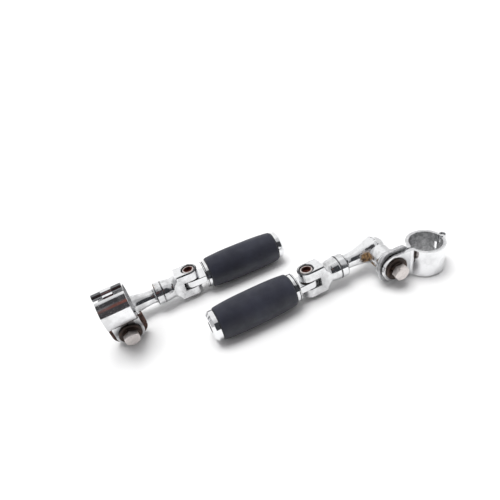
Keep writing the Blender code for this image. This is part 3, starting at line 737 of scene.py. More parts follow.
def clevis_profile():
    """Turned outline of the clevis: hollow taper, domed shank and grooved spigot."""
    corner = math.hypot(FORK_WIDTH / 2, FORK_HEIGHT / 2)
    run = SHANK_START - FORK_BLOCK_END
    fall = corner - SHANK_START_RADIUS
    rise = SHANK_END_RADIUS - SHANK_START_RADIUS
    profile = [(0, FORK_WIDTH), (corner + 2, FORK_WIDTH), (corner + 2, -FORK_BLOCK_END)]
    for step in range(17):
        angle = math.radians(90 * step / 16)
        radius = SHANK_START_RADIUS + fall * (1 - math.sin(angle))
        profile.append((radius, -SHANK_START + run * math.cos(angle)))
    for step in range(1, 11):
        share = step / 11
        place = -SHANK_START - (SHANK_END - SHANK_START) * share
        profile.append((SHANK_START_RADIUS + rise * math.sin(share * math.pi / 2), place))
    groove = SPIGOT_RADIUS - SPIGOT_GROOVE_DEPTH
    ending = rounded([
        (SHANK_END_RADIUS, -SHANK_END + 1.2),
        (SHANK_END_RADIUS, -SHANK_END, 0.45),
        (SPIGOT_RADIUS, -SHANK_END),
        (SPIGOT_RADIUS, -SET_SCREW_PLACE + SPIGOT_GROOVE_HALF),
        (groove, -SET_SCREW_PLACE + SPIGOT_GROOVE_HALF),
        (groove, -SET_SCREW_PLACE - SPIGOT_GROOVE_HALF),
        (SPIGOT_RADIUS, -SET_SCREW_PLACE - SPIGOT_GROOVE_HALF),
        (SPIGOT_RADIUS, -SPIGOT_END, 0.4),
        (0, -SPIGOT_END),
    ])
    return profile + ending


def make_clevis(scene):
    """Fork, turned shank and spigot in one piece."""
    half = FORK_WIDTH / 2
    wide = SHANK_END_RADIUS + 2
    far = -SPIGOT_END - 5
    outline = arc((0, 0), half, 90, -90, 64)
    outline += [(-FORK_FLAT_END, -half), (-SHANK_START - 3, -wide), (far, -wide)]
    outline += [(far, wide), (-SHANK_START - 3, wide), (-FORK_FLAT_END, half)]
    fork = soften(prism("clevis", outline, -FORK_HEIGHT / 2, FORK_HEIGHT / 2), 1.3, 5)
    combine(fork, [along_x(turned("blank", clevis_profile()))], "INTERSECT")
    bottom = -(TONGUE_RADIUS + 0.8)
    slot = block("slot", (bottom, -FORK_WIDTH, -FORK_SLOT / 2), (FORK_WIDTH, FORK_WIDTH, FORK_SLOT / 2))
    combine(fork, [slot], "DIFFERENCE")
    soften(fork, 0.35, 2, 40)
    seat = PIVOT_HEAD_LOW - SEAT_GAP
    counterbore = rod("counterbore", COUNTERBORE_RADIUS, seat, FORK_HEIGHT, ROUND_STEPS)
    pocket = prism("nut_pocket", hexagon(NUT_SIZE + 2 * PIN_GAP), -FORK_HEIGHT, NUT_SEAT)
    pin_hole = rod("pin_hole", PIVOT_RADIUS + PIN_GAP, -FORK_HEIGHT, FORK_HEIGHT)
    mouth = turned("mouth", [
        (0, 13), (COUNTERBORE_RADIUS, 14.5), (COUNTERBORE_RADIUS + 1, 15.5), (0, 15.5),
    ])
    return combine(fork, [counterbore, mouth, pocket, pin_hole], "DIFFERENCE")


def make_pivot_screw(scene):
    """Shoulder screw with a hexagon socket and a thinner threaded end."""
    end = NUT_SEAT - NUT_HEIGHT - 0.4
    root = PIVOT_THREAD_RADIUS - FINE_THREAD_DEPTH
    shoulder = NUT_SEAT + SEAT_GAP
    screw = turned("pivot_screw", rounded([
        (0, end),
        (root, end),
        (root, shoulder),
        (PIVOT_RADIUS, shoulder),
        (PIVOT_RADIUS, PIVOT_HEAD_LOW),
        (PIVOT_HEAD_RADIUS, PIVOT_HEAD_LOW, 0.2),
        (PIVOT_HEAD_RADIUS, PIVOT_HEAD_TOP, 0.8),
        (0, PIVOT_HEAD_TOP),
    ]), 64)
    socket = prism("socket", hexagon(PIVOT_SOCKET), PIVOT_HEAD_TOP - PIVOT_SOCKET_DEPTH, FORK_HEIGHT)
    combine(screw, [socket], "DIFFERENCE")
    soften(screw, 0.2, 3, 50)
    return fine_thread(screw, PIVOT_THREAD_RADIUS, end, NUT_SEAT - end, scene)


def with_thread(screw, radius, depth, pitch, low, length, scene):
    """Adds a thread along Z to a screw whose core was turned to the root of the thread."""
    values = {
        "Radius": radius, "Depth": depth, "Pitch": pitch, "Length": length,
        "Facets": scene.clamp_sizes.thread_facets,
    }
    thread = grow("thread", bpy.data.node_groups.get("screw_thread") or thread_tree(), values)
    shift(thread, (0, 0, low))
    joined = bmesh.new()
    joined.from_mesh(screw.data)
    joined.from_mesh(thread.data)
    joined.to_mesh(screw.data)
    joined.free()
    drop(thread)
    return screw


def fine_thread(screw, radius, low, length, scene):
    """Adds the thread of the small screws."""
    return with_thread(screw, radius, FINE_THREAD_DEPTH, FINE_THREAD_PITCH, low, length, scene)


def make_pivot_nut(scene):
    """Nut in the pocket under the lower cheek."""
    high = NUT_SEAT - SEAT_GAP
    nut = prism("pivot_nut", hexagon(NUT_SIZE), high - NUT_HEIGHT, high)
    hole = rod("hole", PIVOT_THREAD_RADIUS + SEAT_GAP, -FORK_HEIGHT, FORK_HEIGHT)
    combine(nut, [hole], "DIFFERENCE")
    return soften(nut, 0.3, 3)


def make_spring_washer(scene):
    """Thin washer between the tongue and the upper cheek."""
    low = TONGUE_HIGH + PIN_GAP
    high = low + SPRING_WASHER_THICKNESS
    return turned("spring_washer", rounded([
        (SPRING_WASHER_BORE, low, 0.15),
        (SPRING_WASHER_RADIUS, low, 0.2),
        (SPRING_WASHER_RADIUS, high, 0.2),
        (SPRING_WASHER_BORE, high, 0.15),
    ], closed=True), closed=True)


def soft_least(first, second, width):
    """Lesser of two distances, with a fillet of this width where they meet."""
    share = np.clip(0.5 + 0.5 * (second - first) / width, 0, 1)
    return second * (1 - share) + first * share - width * share * (1 - share)


def arm_distance(points, sizes):
    """Roughly how far points are outside the cast neck, ball and leg."""
    x, y, z = points.T
    reach, neck_radius = in_mm(sizes.reach), in_mm(sizes.neck_radius)
    ball_radius, leg_radius = in_mm(sizes.elbow_radius), in_mm(sizes.leg_radius)
    along = -x
    share = np.clip((along - NECK_START) / (reach - NECK_START), 0, 1)
    radius = neck_radius + (ball_radius - neck_radius - 0.2) * share ** 1.4
    root = np.clip(1 - (along - ARM_COLLAR_END) / 2.4, 0, 1)
    radius = radius + 1.5 * root ** 2
    neck = np.hypot(y, z - NECK_SHIFT) - radius
    neck = np.maximum(neck, np.maximum(ARM_COLLAR_START + 2 - along, along - reach))
    ball = np.sqrt((x + reach) ** 2 + y ** 2 + (z - ELBOW_SHIFT) ** 2) - ball_radius
    low = ARM_FLANGE_FACE - FLANGE_THICKNESS
    near = np.clip((y - (low - 5)) / 5, 0, 1)
    swell = (in_mm(sizes.flange_radius) - leg_radius - 1.2) * (1 - np.sqrt(1 - near ** 2))
    leg = np.hypot(x + reach, z) - leg_radius - swell
    leg = np.maximum(leg, np.maximum(-y, y - (low + 1)))
    cast = soft_least(neck, ball, in_mm(sizes.cast_fillet))
    return soft_least(cast, leg, 1.6)


def coordinates(mesh):
    """Coordinates of the vertices of a mesh, a row for each."""
    points = np.empty(len(mesh.vertices) * 3)
    mesh.vertices.foreach_get("co", points)
    return points.reshape(-1, 3)


def settle(mesh, distance, rounds=6, step=0.04):
    """Moves the vertices of a mesh onto the surface where a distance is nought."""
    points = coordinates(mesh)
    for _ in range(rounds):
        slope = np.empty_like(points)
        for axis in range(3):
            aside = np.zeros(3)
            aside[axis] = step
            slope[:, axis] = (distance(points + aside) - distance(points - aside)) / (2 * step)
        steep = np.maximum((slope ** 2).sum(1), 0.25)
        move = np.clip(distance(points) / steep, -1.0, 1.0)
        points = points - slope * move[:, None]
    mesh.vertices.foreach_set("co", points.ravel())
    mesh.update()


def make_offset_arm(scene):
    """Cast arm, with its origin moved to the clamp bolt's axis."""
    sizes = scene.arm_sizes
    reach, offset = in_mm(sizes.reach), in_mm(sizes.offset)
    ball, leg = in_mm(sizes.elbow_radius), in_mm(sizes.leg_radius)
    low = ARM_FLANGE_FACE - FLANGE_THICKNESS
    rough = rod("offset_arm_cast", 9.0, 0, reach - ARM_COLLAR_START - 2)
    turn(rough, "Y", 90, (-reach, 0, NECK_SHIFT))
    elbow = turned("elbow", arc((0, 0), ball, -90, 90, 24), SMALL_STEPS)
    shift(elbow, (-reach, 0, ELBOW_SHIFT))
    post = turn(rod("post", leg, 0, low + 1), "X", -90, (-reach, 0, 0))
    combine(rough, [elbow, post], "UNION")
    remesh = rough.modifiers.new("even", "REMESH")
    remesh.mode = "VOXEL"
    remesh.voxel_size = CAST_GRID
    bake(rough)
    settle(rough.data, lambda points: arm_distance(points, sizes))
    collar = along_x(turned("offset_arm", rounded([
        (0, -ARM_COLLAR_START),
        (ARM_COLLAR_RADIUS, -ARM_COLLAR_START, 0.9),
        (ARM_COLLAR_RADIUS, -ARM_COLLAR_END, 0.9),
        (0, -ARM_COLLAR_END),
    ])))
    flange_radius = in_mm(sizes.flange_radius)
    flange = turn(turned("flange", rounded([
        (0, low),
        (flange_radius, low, 0.6),
        (flange_radius, ARM_FLANGE_FACE, 0.5),
        (0, ARM_FLANGE_FACE),
    ])), "X", -90, (-reach, 0, 0))
    arm = combine(rough, [collar, flange], "UNION")
    arm.name = "offset_arm"
    spigot_bore = rod("spigot_bore", SPIGOT_RADIUS + PIN_GAP, -SPIGOT_END - 0.4, -SHANK_START)
    along_x(spigot_bore)
    screw_hole = rod("screw_hole", SET_SCREW_RADIUS + SEAT_GAP, 0, 20)
    turn(screw_hole, "X", 90, (-SET_SCREW_PLACE, 0, 0))
    bolt_hole = rod("bolt_hole", BOLT_RADIUS + SEAT_GAP, offset + BOLT_END - 0.8, offset)
    turn(bolt_hole, "X", -90, (-reach, 0, 0))
    combine(arm, [spigot_bore, screw_hole, bolt_hole], "DIFFERENCE")
    return shift(arm, (reach, -offset, 0))


def make_swivel_set_screw(scene):
    """Headless socket screw in the back of the arm's collar."""
    sizes = scene.arm_sizes
    low = SPIGOT_RADIUS - SPIGOT_GROOVE_DEPTH + SEAT_GAP
    high = ARM_COLLAR_RADIUS - 0.6
    screw = turned("swivel_set_screw", rounded([
        (0, low), (SET_SCREW_RADIUS, low, 0.3), (SET_SCREW_RADIUS, high, 0.2), (0, high),
    ]), SMALL_STEPS)
    combine(screw, [prism("socket", hexagon(SET_SCREW_RADIUS), high - 2, high + 1)], "DIFFERENCE")
    return turn(screw, "X", 90, (in_mm(sizes.reach) - SET_SCREW_PLACE, -in_mm(sizes.offset), 0))


def strap_outline(sizes, hinge_angle):
    """Side view of one clamp half: flat ear, rounded lip, half ring. The ring's centre is on X."""
    centre = (in_mm(sizes.reach), 0)
    inner_radius = in_mm(sizes.tube_bore) / 2
    outer_radius = inner_radius + in_mm(sizes.wall)
    inner_y = EAR_GAP / 2
    lip = 2.5
    lip_x = centre[0] - math.sqrt((inner_radius + lip) ** 2 - (inner_y + lip) ** 2)
    lip_angle = math.degrees(math.atan2(inner_y + lip, lip_x - centre[0]))
    bend = 3.0
    bend_x = centre[0] - math.sqrt((outer_radius + bend) ** 2 - (EAR_FACE + bend) ** 2)
    bend_angle = math.degrees(math.atan2(EAR_FACE + bend, bend_x - centre[0]))
    points = [(-WIDE_EAR_END - 1, inner_y)]
    points += arc((lip_x, inner_y + lip), lip, -90, lip_angle - 180, 12)
    points += arc(centre, inner_radius, lip_angle, hinge_angle, 72)[1:]
    points += arc(centre, outer_radius, hinge_angle, bend_angle, 72)
    points += arc((bend_x, EAR_FACE + bend), bend, bend_angle - 180, -90, 12)[1:]
    points.append((-WIDE_EAR_END - 1, EAR_FACE))
    return points


def narrow_ear(long_edge):
    """Plan of the ear as wide as the ring: a round end that meets the straight edges."""
    meet = math.degrees(math.asin(long_edge / NARROW_EAR_RADIUS))
    return arc((0, 0), NARROW_EAR_RADIUS, meet, 360 - meet, 72)


def wide_ear(long_edge):
    """Plan of the broad ear: an oval end and shoulders that step in to the ring's width."""
    foot = WIDE_EAR_SHOULDER + WIDE_EAR_HALF - long_edge
    power = 2 / WIDE_EAR_SQUARENESS
    points = [(foot, long_edge), (WIDE_EAR_SHOULDER, WIDE_EAR_HALF)]
    for x, y in arc((0, 0), 1, 90, 270, 64):
        across = math.copysign(abs(y) ** power, y)
        points.append((-(abs(x) ** power) * WIDE_EAR_END, across * WIDE_EAR_HALF))
    return points + [(WIDE_EAR_SHOULDER, -WIDE_EAR_HALF), (foot, -long_edge)]


def knuckle_centre(sizes):
    """Distance of the hinge axis from the bolt."""
    return in_mm(sizes.reach) + in_mm(sizes.tube_bore) / 2 + KNUCKLE_RADIUS + KNUCKLE_STANDOFF


def knuckle_rod(name, sizes, radius, half_length):
    """A round bar on the hinge axis of the clamp."""
    return shift(rod(name, radius, -half_length, half_length, 64), (knuckle_centre(sizes), 0, 0))


def strap(name, sizes, hinge_angle, ear, knuckle_radius=KNUCKLE_RADIUS):
    """One clamp half as a bent strap with an unbroken knuckle, trimmed to the plan of its ear."""
    long_edge = in_mm(sizes.width) / 2
    stock = WIDE_EAR_HALF + 1
    made = prism(name, strap_outline(sizes, hinge_angle), -stock, stock)
    combine(made, [knuckle_rod("knuckle", sizes, knuckle_radius, long_edge + 1)], "UNION")
    far = knuckle_centre(sizes) + KNUCKLE_RADIUS * 2
    plan = prism("plan", ear + [(far, -long_edge), (far, long_edge)], -40, 40)
    turn(plan, "X", 90)
    combine(made, [plan], "INTERSECT")
    return made


def ring_piece(name, sizes, start, end, low, high):
    """Cutter shaped as part of a ring about the tube axis, wider than the clamp's wall."""
    centre = (in_mm(sizes.reach), 0)
    inner = in_mm(sizes.tube_bore) / 2 - 3
    outer = in_mm(sizes.tube_bore) / 2 + in_mm(sizes.wall) + 3 * KNUCKLE_RADIUS
    outline = arc(centre, inner, start, end, 12) + arc(centre, outer, end, start, 12)
    return prism(name, outline, low, high)


def is_flat(face):
    """Whether a face is square to Y."""
    return abs(face.normal.y) > 0.9999


def triangulate_flats(bm):
    """Cuts the flat faces with more than three corners into triangles."""
    flats = [face for face in bm.faces if is_flat(face) and len(face.verts) > 3]
    bmesh.ops.triangulate(bm, faces=flats)


def divide_flats(item, longest=1.8, rounds=6):
    """Divides the flat faces, so that wear and painted shade can lie on them."""
    bm = bmesh.new()
    bm.from_mesh(item.data)
    triangulate_flats(bm)
    for _ in range(rounds):
        long_edges = [
            edge for edge in bm.edges
            if edge.calc_length() > longest and all(is_flat(face) for face in edge.link_faces)
        ]
        bmesh.ops.subdivide_edges(bm, edges=long_edges, cuts=1)
        triangulate_flats(bm)
    bm.to_mesh(item.data)
    bm.free()
    return item


def with_bolt_hole(half):
    """Drills the ear of a clamp half and divides its flat faces."""
    hole = along_y(rod("bolt_hole", BOLT_HOLE_RADIUS, -20, 20))
    return divide_flats(combine(half, [hole], "DIFFERENCE"))


def make_clamp_tongue_half(scene):
    """Clamp half on the bolt head's side, with a middle knuckle and a cross bar."""
    sizes = scene.clamp_sizes
    long_edge = in_mm(sizes.width) / 2
    half = strap("clamp_tongue_half", sizes, 3.0, narrow_ear(long_edge))
    wide = KNUCKLE_WIDTH / 2
    upper = ring_piece("upper_side", sizes, -17, 15, wide, 28)
    lower = ring_piece("lower_side", sizes, -17, 15, -28, -wide)
    combine(half, [upper, lower], "DIFFERENCE")
    soften(half, in_mm(sizes.edge))
    bar = soften(knuckle_rod("bar", sizes, CROSS_BAR_RADIUS, CROSS_BAR_LENGTH / 2), 0.35)
    combine(half, [bar], "UNION")
    return with_bolt_hole(half)


def make_clamp_hook_half(scene):
    """Clamp half on the arm's side, with two side lugs rolled outward round the cross bar."""
    sizes = scene.clamp_sizes
    plan = wide_ear(in_mm(sizes.width) / 2)
    half = turn(strap("clamp_hook_half", sizes, 4.0, plan, LUG_RADIUS), "X", 180)
    slot_half = KNUCKLE_WIDTH / 2 + SLIDE_GAP
    slot = ring_piece("slot", sizes, -17, 17, -slot_half, slot_half)
    hole = knuckle_rod("bar_hole", sizes, CROSS_BAR_RADIUS + PIN_GAP, 28)
    seam = block("seam", (0, -0.3, -28), (2 * KNUCKLE_RADIUS, 0.3, 28))
    turn(seam, "Z", -95, (knuckle_centre(sizes), 0, 0))
    combine(half, [slot, hole, seam], "DIFFERENCE")
    soften(half, in_mm(sizes.edge))
    return with_bolt_hole(half)


def make_clamp_bolt(scene):
    """Hexagon head bolt, chamfered on its head."""
    sizes = scene.clamp_sizes
    across, pitch = in_mm(sizes.bolt_hex), in_mm(sizes.thread_pitch)
    high = BOLT_HEAD_LOW + BOLT_HEAD_HEIGHT
    corner = across / math.sqrt(3)
    head = prism("clamp_bolt", hexagon(across), BOLT_HEAD_LOW, high)
    chamfer = turned("chamfer", [
        (0, BOLT_HEAD_LOW - 1), (corner + 1, BOLT_HEAD_LOW - 1), (corner + 1, high - 1.6),
        (across / 2 - 0.3, high), (0, high),
    ])
    combine(head, [chamfer], "INTERSECT")
    soften(head, 0.3, 3, 20)
    thread_end = BOLT_END + BOLT_THREAD_LENGTH + 0.6
    shank = turned("shank", rounded([
        (0, BOLT_END),
        (BOLT_ROOT_RADIUS, BOLT_END, 0.5),
        (BOLT_ROOT_RADIUS, thread_end),
        (BOLT_RADIUS, thread_end + 0.6),
        (BOLT_RADIUS, BOLT_HEAD_LOW + 1),
        (0, BOLT_HEAD_LOW + 1),
    ]), SMALL_STEPS)
    combine(head, [shank], "UNION")
    low = BOLT_END + 0.3
    with_thread(head, BOLT_RADIUS, BOLT_THREAD_DEPTH, pitch, low, BOLT_THREAD_LENGTH, scene)
    return along_y(head)


def make_lock_washer(scene):
    """Split washer under the bolt's head."""
    low, high = LOCK_WASHER_LOW, LOCK_WASHER_HIGH
    washer = turned("lock_washer", [
        (BOLT_HOLE_RADIUS, low),
        (LOCK_WASHER_RADIUS, low),
        (LOCK_WASHER_RADIUS, high),
        (BOLT_HOLE_RADIUS, high),
    ], closed=True)
    split = block("split", (0, -0.6, -20), (20, 0.6, 20))
    turn(split, "X", 25, (0, (low + high) / 2 * math.tan(math.radians(25)), 0))
    turn(split, "Z", 160)
    combine(washer, [split], "DIFFERENCE")
    return along_y(soften(washer, 0.25))


def make_flat_washer(scene):
    """Flat washer on the ear."""
    return along_y(turned("flat_washer", rounded([
        (BOLT_HOLE_RADIUS, FLAT_WASHER_LOW, 0.2),
        (FLAT_WASHER_RADIUS, FLAT_WASHER_LOW, 0.2),
        (FLAT_WASHER_RADIUS, FLAT_WASHER_HIGH, 0.45),
        (BOLT_HOLE_RADIUS, FLAT_WASHER_HIGH, 0.2),
    ], closed=True), closed=True))


# Wear and painted shade, worked out from where a point is on its piece


def fade(distance, reach):
    """One at nought, falling smoothly to nought at a distance."""
    share = np.clip(1 - distance / reach, 0, 1)
    return share * share * (3 - 2 * share)


def spot(points, place, reach):
    """A soft round patch about a place."""
    return fade(np.linalg.norm(points - np.array(place), axis=1), reach)


def wear_and_shade_of(points, rust=0.0, ochre=0.0, dull=0.0, grime_and_painted_shade=0.0):
    """Rust, how yellow the rust is, dullness, and grime with painted shade, a number for each point."""
    worn = {"rust": rust, "ochre": ochre, "dull": dull, "grime_and_painted_shade": grime_and_painted_shade}
    return {name: np.clip(np.zeros(len(points)) + value, 0, 1) for name, value in worn.items()}


def no_wear(points, side):
    """Wear of a clean piece."""
    return wear_and_shade_of(points)


def up_in_clamp(side):
    """The upward direction in the clamp's own frame."""
    return np.array(piece_frames(side)["clamp"].inverted().to_3x3() @ Vector((0, 0, 1)))


# Where the arm is stained, from its clamp end: place and reach
CORNER_STAIN = ((15.0, -23.0, 3.5), 11.0)
LOWER_STAIN = ((12.0, -17.0, -4.0), 9.0)
COLLAR_STAIN = ((36.3, -32.2, -12.0), 9.0)


def arm_wear(points, side):
    """Rust in the inner corner of the arm and round its flange."""
    x, y, z = points.T
    flange_face = -EAR_FACE - SEAT_GAP
    edge = fade(np.abs(np.hypot(x, z) - 15.2), 2.0) * fade(np.abs(y - flange_face + 1.7), 3.6)
    corner = np.maximum(spot(points, *CORNER_STAIN), 0.8 * spot(points, *LOWER_STAIN))
    if side == "front":
        rust = np.maximum(1.15 * corner, 0.20 * edge)
    else:
        rust = np.maximum(0.30 * corner, 1.1 * edge)
    collar = spot(points, *COLLAR_STAIN)
    rust = np.maximum(rust, 0.45 * collar)
    return wear_and_shade_of(points, rust, np.maximum(1.6 * corner, collar), 0.6 * collar + 0.4 * corner)


def ear_edge(x, z, end, half, width=0.09):
    """How near points are to the edge of an oval ear."""
    outside = np.where(x < 0, np.hypot(x / end, z / half), np.abs(z) / half)
    return fade(np.abs(1 - outside), width) * (x < 14)


def hook_half_wear(points, side):
    """Rust on the exposed part of the broad ear, grime on the hinge lugs and a dull bore."""
    x, y, z = points.T
    exposed = np.clip((np.maximum(np.hypot(x, z), np.abs(z)) - NARROW_EAR_RADIUS + 0.9) / 0.6, 0, 1)
    exposed = exposed * (x < 14) * (np.abs(y) < EAR_FACE + 0.3)
    grime_and_painted_shade = hinge_grime(points) * (np.abs(z) > KNUCKLE_WIDTH / 2)
    if side == "rear":
        return wear_and_shade_of(points, 1.1 * exposed, 0.0, bore_dullness(points), grime_and_painted_shade)
    dull = np.maximum(0.75 * exposed, bore_dullness(points))
    return wear_and_shade_of(points, 0.16 * exposed, 0.3, dull, 0.3 * grime_and_painted_shade)


def tongue_half_wear_and_shade(points, side):
    """A stain ring round the washers, painted shade on the ear face beside them, rusty ear edges and a dull
    bore.
    """
    x, y, z = points.T
    edge = ear_edge(x, z, NARROW_EAR_RADIUS, 14.4) * (y < 2.6)
    from_washer_ring = np.abs(np.hypot(x, z) - STAIN_RADIUS)
    halo = fade(from_washer_ring, 2.2) * fade(np.abs(y - EAR_FACE), 0.6)
    rust = np.maximum(edge * (0.85 if side == "rear" else 0.12), 0.35 * halo)
    # Painted shade of the washers on the ear face, growing towards the ring
    shaded = fade(from_washer_ring, 7.0) * np.clip((x + 1) / 6, 0, 1) * (np.abs(y - EAR_FACE) < 0.6)
    grime_and_painted_shade = np.maximum(shaded * (0.9 if side == "rear" else 0.25), 0.5 * halo)
    return wear_and_shade_of(points, rust, 0.0, bore_dullness(points), grime_and_painted_shade)


def hinge_grime(points):
    """Grime on the outer side of the hinge."""
    sizes = bpy.context.scene.clamp_sizes
    centre = knuckle_centre(sizes)
    outer = np.clip((points[:, 0] - centre + 1.0) / 1.0, 0, 1)
    return 0.85 * outer * (np.hypot(points[:, 0] - centre, points[:, 1]) < 2 * KNUCKLE_RADIUS)


def bore_dullness(points):
    """One inside the tube bore, nought outside."""
    sizes = bpy.context.scene.clamp_sizes
    radius = np.hypot(points[:, 0] - in_mm(sizes.reach), points[:, 1])
    return (radius < in_mm(sizes.tube_bore) / 2 + 0.2).astype(float)


def clamp_bolt_painted_shade(points, side):
    """Painted shade on the upper facets of the bolt's head."""
    outward = points * np.array((1.0, 0.0, 1.0))
    radius = np.linalg.norm(outward, axis=1)
    upward = outward @ up_in_clamp(side) / np.maximum(radius, 0.1)
    below_top = BOLT_HEAD_LOW + BOLT_HEAD_HEIGHT - 0.6 - points[:, 1]
    # Painted shade: the facets that face up are darkened
    grime_and_painted_shade = np.clip((upward - 0.35) / 0.25, 0, 1) * (radius > 6) * np.clip(below_top / 0.6, 0, 1)
    return wear_and_shade_of(points, grime_and_painted_shade=grime_and_painted_shade)


def pivot_screw_wear(points, side):
    """A rusty socket and a stained rim."""
    x, y, z = points.T
    rust = (np.hypot(x, y) < 4.6) * (z > 9)
    return wear_and_shade_of(points, np.maximum(rust, 0.25 * (z > 9)))


def clevis_wear_and_shade(points, side):
    """Stain and painted shade in the counterbore round the pivot screw."""
    x, y, z = points.T
    # Stain with painted shade in a narrow ring at the counterbore's wall
    grime_and_painted_shade = fade(np.abs(np.hypot(x, y) - 7.2), 0.5) * (z > 8)
    worn_face = 0.5 * fade(np.abs(x + 9.6), 1.5) * (np.abs(z) < 4.9)
    return wear_and_shade_of(points, 0.2 * grime_and_painted_shade, 0.0, worn_face, 0.9 * grime_and_painted_shade)


# Surfaces

TARNISH = (0.50, 0.50, 0.505, 1.0)
PLATING_PIT = (0.20, 0.17, 0.15, 1.0)
DULL_DARK = (0.30, 0.305, 0.31, 1.0)
DULL_PALE = (0.62, 0.62, 0.63, 1.0)
# Colour of grime and painted shade, and of the painted dark reflections on rounded edges
GRIME_AND_PAINTED_SHADE = (0.060, 0.060, 0.066, 1.0)
OCHRE_DARK = (0.055, 0.034, 0.022, 1.0)
OCHRE_PALE = (0.40, 0.245, 0.115, 1.0)
RUBBER_SCUFF = (0.070, 0.074, 0.085, 1.0)
BOLT_PIT = (0.16, 0.10, 0.08, 1.0)
# Painted shade on the upper facets of the clamp bolts' heads
BOLT_PAINTED_SHADE = (0.085, 0.070, 0.066, 1.0)
SOCKET_RUST = (0.095, 0.026, 0.018)
OILY_BROWN = (0.085, 0.055, 0.042, 1.0)


def new_surface(name):
    """Starts a material: the material, its node helper, its shader and the place on the piece."""
    made = bpy.data.materials.new(name)
    made.use_nodes = True
    nodes = Nodes(made.node_tree)
    shader = made.node_tree.nodes["Principled BSDF"]
    return made, nodes, shader, nodes.add("ShaderNodeTexCoord").outputs["Object"]


def wear_on(nodes, name):
    """One kind of wear, painted shade or edge mark that a piece carries."""
    return nodes.add("ShaderNodeAttribute", attribute_name=name).outputs["Fac"]


def emboss(nodes, shader, height, strength, distance):
    """Gives a surface small bumps of this height."""
    inputs = {"Height": height, "Strength": strength, "Distance": distance}
    nodes.link(nodes.add("ShaderNodeBump", inputs).outputs[0], shader.inputs["Normal"])


def mix_colours(nodes, share, first, second):
    """Colour between two colours."""
    node = nodes.add("ShaderNodeMix", data_type="RGBA")
    for index, value in ((0, share), (6, first), (7, second)):
        if isinstance(value, bpy.types.NodeSocket):
            nodes.link(value, node.inputs[index])
        else:
            node.inputs[index].default_value = value
    return node.outputs[2]


def grain(nodes, place, scale, detail=3.0, roughness=0.55, distortion=0.0):
    """Noise on the piece, between nought and one."""
    return nodes.add("ShaderNodeTexNoise", {
        "Vector": place, "Scale": scale, "Detail": detail, "Roughness": roughness, "Distortion": distortion,
    }).outputs[0]


def between(nodes, value, low, high, out_low=0.0, out_high=1.0):
    """Maps a range of values smoothly onto another."""
    inputs = {"Value": value, "From Min": low, "From Max": high, "To Min": out_low, "To Max": out_high}
    return nodes.add("ShaderNodeMapRange", inputs, interpolation_type="SMOOTHSTEP").outputs[0]


def opaque(colour):
    """A colour with full alpha."""
    return (*colour, 1.0)


def rust_share(nodes, place, low, high):
    """Where a piece is rusty: its own wear, broken up by a grain."""
    wear = wear_on(nodes, "rust")
    broken = nodes.math("MULTIPLY_ADD", grain(nodes, place, 420.0, 5.0, 0.65), 0.9, -0.45)
    raised = nodes.math("ADD", wear, nodes.math("MULTIPLY", broken, between(nodes, wear, 0.0, 0.2)))
    return between(nodes, raised, low, high)


def rust_colour(nodes, place, rust):
    """Rust that goes from nearly black to reddish brown, and to ochre where it is said to."""
    patches = between(nodes, grain(nodes, place, 330.0, 4.0), 0.32, 0.68)
    dark = tuple(0.22 * part for part in rust)
    bright = tuple(1.15 * part for part in rust)
    red = mix_colours(nodes, patches, opaque(dark), opaque(bright))
    yellow = mix_colours(nodes, patches, OCHRE_DARK, OCHRE_PALE)
    ochre = wear_on(nodes, "ochre")
    return mix_colours(nodes, ochre, red, yellow)


